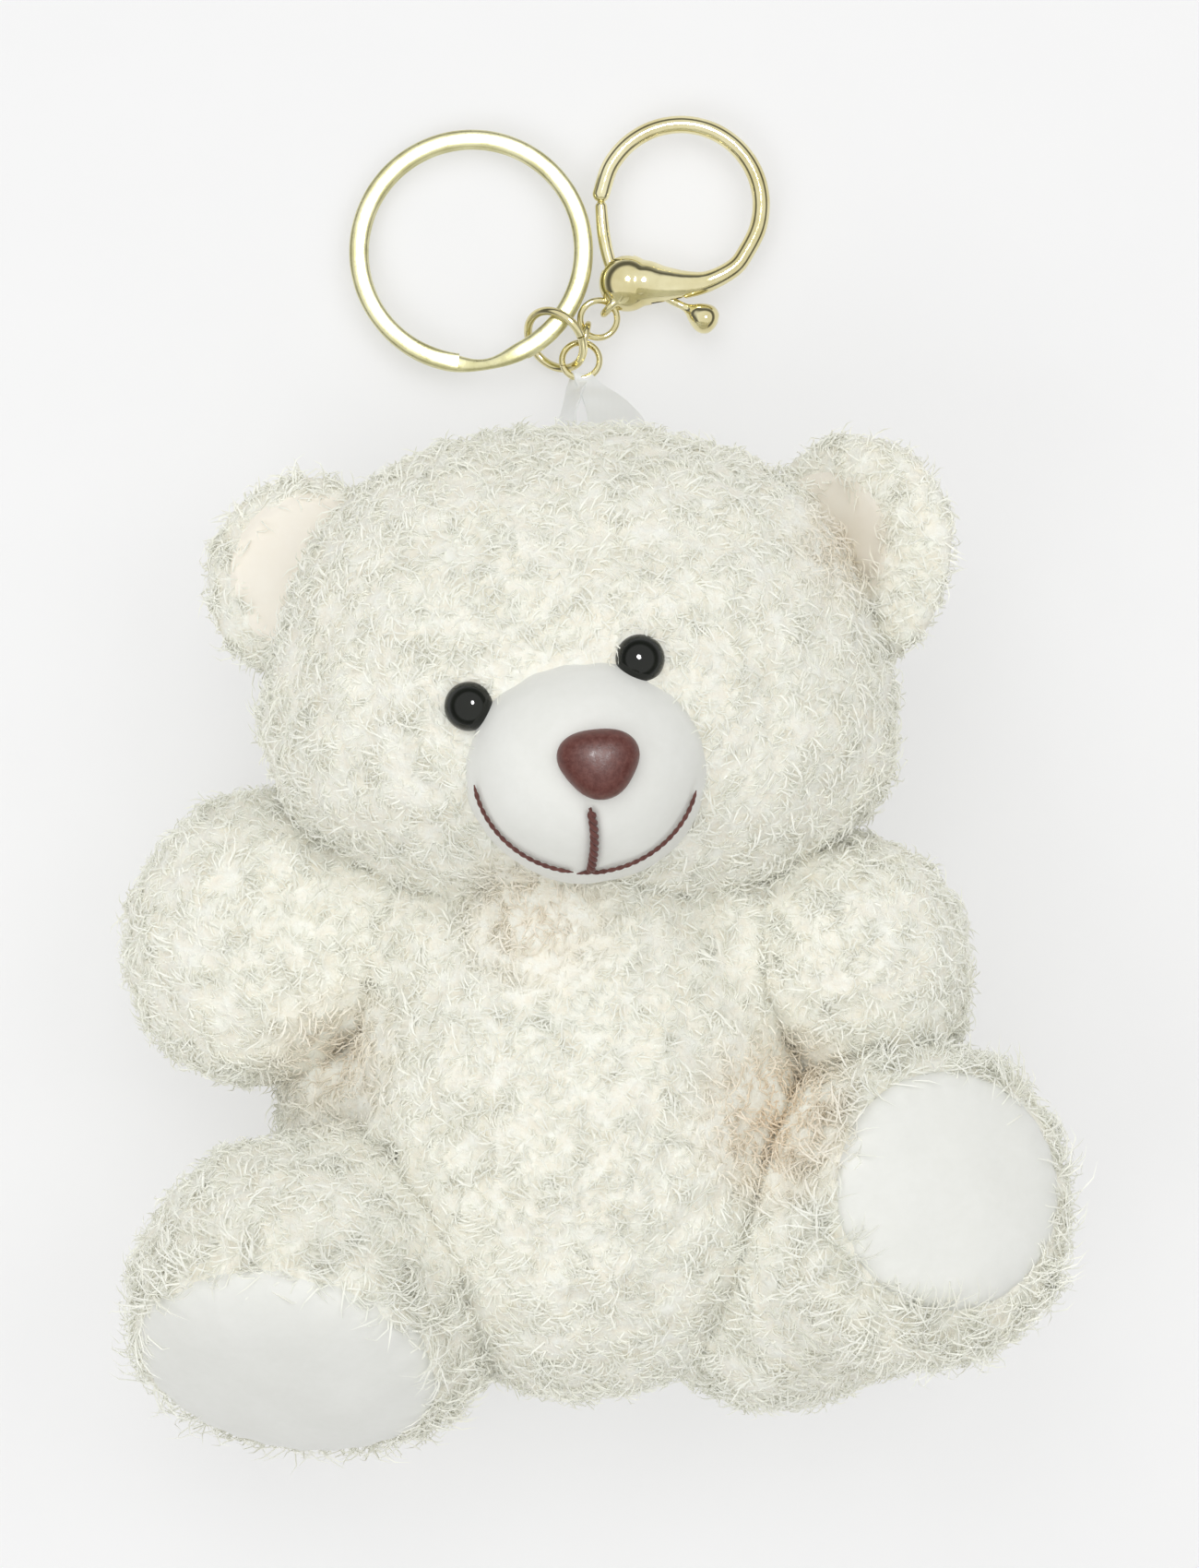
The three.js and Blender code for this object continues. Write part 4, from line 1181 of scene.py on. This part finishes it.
# Two turns of flat spring wire lying on each other, stepping from the lower to the upper.
def buildKeyRing():
    steps = 300
    half, thick = keyRing["band"] / 2, keyRing["turn"] / 2
    outline = [
        (half * math.copysign(abs(math.cos(a)) ** 0.65, math.cos(a)),
         thick * math.copysign(abs(math.sin(a)) ** 0.95, math.sin(a)))
        for a in np.linspace(0, 2 * math.pi, 28, endpoint=False)
    ]
    points = []
    for i in range(steps + 1):
        turn = i / steps * keyRing["turns"]
        a = 2 * math.pi * turn
        t = min(1, max(0, (turn - keyRing["stepFrom"]) / keyRing["step"]))
        z = (keyRing["turn"] + keyRing["gap"]) * (t * t * (3 - 2 * t) - 0.5)
        end = min(1.0, 0.55 + 3 * min(i, steps - i) / steps * 8)
        pinch = keyRing["pinch"] * math.sin(math.pi * t) ** 2
        for r, h in outline:
            out = keyRing["radius"] + r * (0.9 + 0.1 * end - pinch) + half * pinch * 0.5
            points.append((out * math.cos(a), out * math.sin(a), z + h * end))
    n = len(outline)
    faces = [
        (i * n + j, (i + 1) * n + j, (i + 1) * n + (j + 1) % n, i * n + (j + 1) % n)
        for i in range(steps)
        for j in range(n)
    ]
    faces.append(tuple(range(n)))
    faces.append(tuple(range(len(points) - n, len(points)))[::-1])
    points = np.array(points)
    start, toward, rise = (math.radians(keyRing[k]) for k in ("start", "toward", "rise"))
    c, s = math.cos(start), math.sin(start)
    points = points @ np.array([[c, -s, 0], [s, c, 0], [0, 0, 1]]).T
    axis = Vector((-math.sin(toward), math.cos(toward), 0))
    lean = np.array(Matrix.Rotation(-rise, 3, axis))
    points = points @ lean.T + keyRing["centre"]
    addPiece("splitKeyRing", [(points, faces, "satin")], "key_ring", "satin_gold", "split_key_ring")


clasp = {
    "centre": (10.4, 73.8, 2.9), "radius": 9.9, "wire": 1.1, "tip": 172, "root": -36,
    # points down the neck into the bulb, each with its radius
    "neck": [(16.9, 66.05, 2.9, 1.14), (13.9, 64.45, 2.9, 1.3), (11.2, 64.0, 2.9, 1.72), (8.4, 64.0, 2.9, 2.3), (6.0, 64.2, 2.9, 2.85)],
    "bulb": (3.8, 64.2, 2.9), "bulbRadii": (3.5, 3.55, 2.85), "slot": 2,
    "eye": (1.9, 61.4, 2.9), "eyeRadius": 1.4, "eyeWire": 0.5, "eyeToward": 46,
    "pin": (6.2, 63.9), "blend": 0.17,
}
lever = {
    "bar": 0.8, "elbow": (1.5, 66.4), "hub": 1.45, "hubThickness": 1.4, "open": 26, "gap": 0.5,
    "thumb": (13.4, 59.8), "thumbRadius": 1.85,
}


def onHook(degrees):
    a = math.radians(degrees)
    x, y, z = clasp["centre"]
    return np.array([x + clasp["radius"] * math.cos(a), y + clasp["radius"] * math.sin(a), z])


def ellipsoid(centre, radii, detail=4):
    directions, faces = directionsOfBall(detail)
    return np.array(centre) + directions * radii, faces


# One cast hook: its overlapping forms are skinned together, smoothed and slotted for the lever.
def buildClasp():
    arc = [(*onHook(clasp["tip"] + (clasp["root"] - clasp["tip"]) * i / 40), clasp["wire"]) for i in range(41)]
    line = through(np.array(arc[::4] + clasp["neck"] + [(*clasp["bulb"], 2.6)]), 8)
    wire = tube(line[:, :3], line[:, 3], 24)
    tip = ellipsoid(onHook(clasp["tip"]), (clasp["wire"],) * 3)
    bulb = ellipsoid(clasp["bulb"], clasp["bulbRadii"])
    toward = math.radians(clasp["eyeToward"])
    turns = np.linspace(0, 2 * math.pi, 40, endpoint=False)
    across = np.array([math.cos(toward), math.sin(toward), 0])
    loop = np.array(clasp["eye"]) + clasp["eyeRadius"] * (
        np.cos(turns)[:, None] * across + np.sin(turns)[:, None] * np.array([0, 0, 1.0])
    )
    eyeLoop = tube(loop, clasp["eyeWire"], 14, closed=True)
    points, faces = joined(wire, tip, bulb, eyeLoop)
    body = addPiece("claspBody", [(points, faces, "polished")], "clasp", "polished_gold", "clasp_body")

    skinning = body.modifiers.new("skin", "REMESH")
    skinning.mode = "VOXEL"
    skinning.voxel_size = clasp["blend"] * mm
    skinning.use_smooth_shade = True
    easing = body.modifiers.new("ease", "SMOOTH")
    easing.factor = 0.5
    easing.iterations = 6
    cutter = slotCutter()
    cutting = body.modifiers.new("slot", "BOOLEAN")
    cutting.operation = "DIFFERENCE"
    cutting.object = cutter
    cutting.solver = "EXACT"
    cutting.use_self = True
    bpy.context.view_layer.update()
    shaped = bpy.data.meshes.new_from_object(body.evaluated_get(bpy.context.evaluated_depsgraph_get()))
    body.modifiers.clear()
    body.data = shaped
    bpy.data.objects.remove(cutter)
    print("clasp cast:", len(shaped.polygons), "faces")


def bearing(place):
    return math.atan2(place[1] - clasp["pin"][1], place[0] - clasp["pin"][0])


# The lever's arms need a wedge each to swing in, and its hub a disc.
def slotCutter():
    cutter = bmesh.new()
    z = clasp["centre"][2]
    half = clasp["slot"] / 2
    swing = math.radians(lever["open"])
    parts = []
    for place, reach in ((lever["elbow"], 7.2), (lever["thumb"], 9.0)):
        first, last = bearing(place) + 0.14, bearing(place) - swing - 0.14
        ring = [np.array(clasp["pin"])]
        ring += [np.array(clasp["pin"]) + reach * np.array([math.cos(a), math.sin(a)]) for a in np.linspace(first, last, 8)]
        side = np.array([math.cos((first + last) / 2), math.sin((first + last) / 2)])
        ring[0] = ring[0] - side * 2.2
        parts.append(ring)
    parts.append([np.array(clasp["pin"]) + 1.8 * np.array([math.cos(a), math.sin(a)]) for a in np.linspace(0, -2 * math.pi, 24, endpoint=False)])
    for ring in parts:
        low = [cutter.verts.new((Vector((*p, z - half)) + Vector(shift)) * mm) for p in ring]
        high = [cutter.verts.new((Vector((*p, z + half)) + Vector(shift)) * mm) for p in ring]
        cutter.faces.new(low)
        cutter.faces.new(high[::-1])
        for i in range(len(ring)):
            k = (i + 1) % len(ring)
            cutter.faces.new((low[k], low[i], high[i], high[k]))
    bmesh.ops.recalc_face_normals(cutter, faces=cutter.faces)
    mesh = bpy.data.meshes.new("slotCutter")
    cutter.to_mesh(mesh)
    cutter.free()
    made = bpy.data.objects.new("slotCutter", mesh)
    bpy.context.scene.collection.objects.link(made)
    return made


def buildLever():
    z = clasp["centre"][2]
    top = onHook(clasp["tip"]) - (0, clasp["wire"] + lever["gap"], 0)
    elbow, pin = np.array([*lever["elbow"], z]), np.array([*clasp["pin"], z])
    bar = lever["bar"]
    gate = through([
        (*top, bar * 0.92), (*(top * 0.55 + elbow * 0.45 + (-0.12, 0, 0)), bar), (*(elbow + (0, 0.9, 0)), bar),
        (*(elbow + (0.8, -0.75, 0)), bar), (*(elbow * 0.35 + pin * 0.65), bar * 0.98), (*pin, bar * 0.95),
    ], 9)
    arm = tube(gate[:, :3], gate[:, 3], 18)
    cap = ellipsoid(top, (bar * 0.92,) * 3, 3)
    hubHeight = lever["hubThickness"] / 2
    hub = turned([(lever["hub"] - 0.2, -hubHeight), (lever["hub"], -hubHeight + 0.2),
                  (lever["hub"], hubHeight - 0.2), (lever["hub"] - 0.2, hubHeight)], 32)
    hub = (hub[0] + pin, hub[1])
    thumb = np.array([*lever["thumb"], z])
    way = thumb - pin
    r = lever["thumbRadius"]
    tail = through([
        (*pin, bar * 0.7), (*(pin + way * 0.4 + (0, -0.1, 0)), bar * 0.62), (*(pin + way * 0.66), bar * 0.66),
        (*(pin + way * 0.82), r * 0.72), (*(pin + way * 0.95), r * 0.98), (*(pin + way * 1.06), r * 0.98),
        (*(pin + way * 1.15), r * 0.7), (*(pin + way * 1.19), r * 0.2),
    ], 9)
    drop = tube(tail[:, :3], tail[:, 3], 20)
    form = joined(arm, cap, hub, drop)
    addPiece("claspLever", [(*form, "polished")], "lever", "polished_gold", "clasp_lever")


buildRibbon()
buildRings()
buildKeyRing()
buildClasp()
buildLever()
carried = {
    "eye_washer_right": "washer", "eye_washer_left": "washer", "nose_washer": "washer",
    "clasp_pin": "steel", "clasp_spring": "steel",
}
for node, finish in carried.items():
    for slot in frame["nodes"][node].material_slots:
        slot.material = finishes[finish]
print("hardware hung")
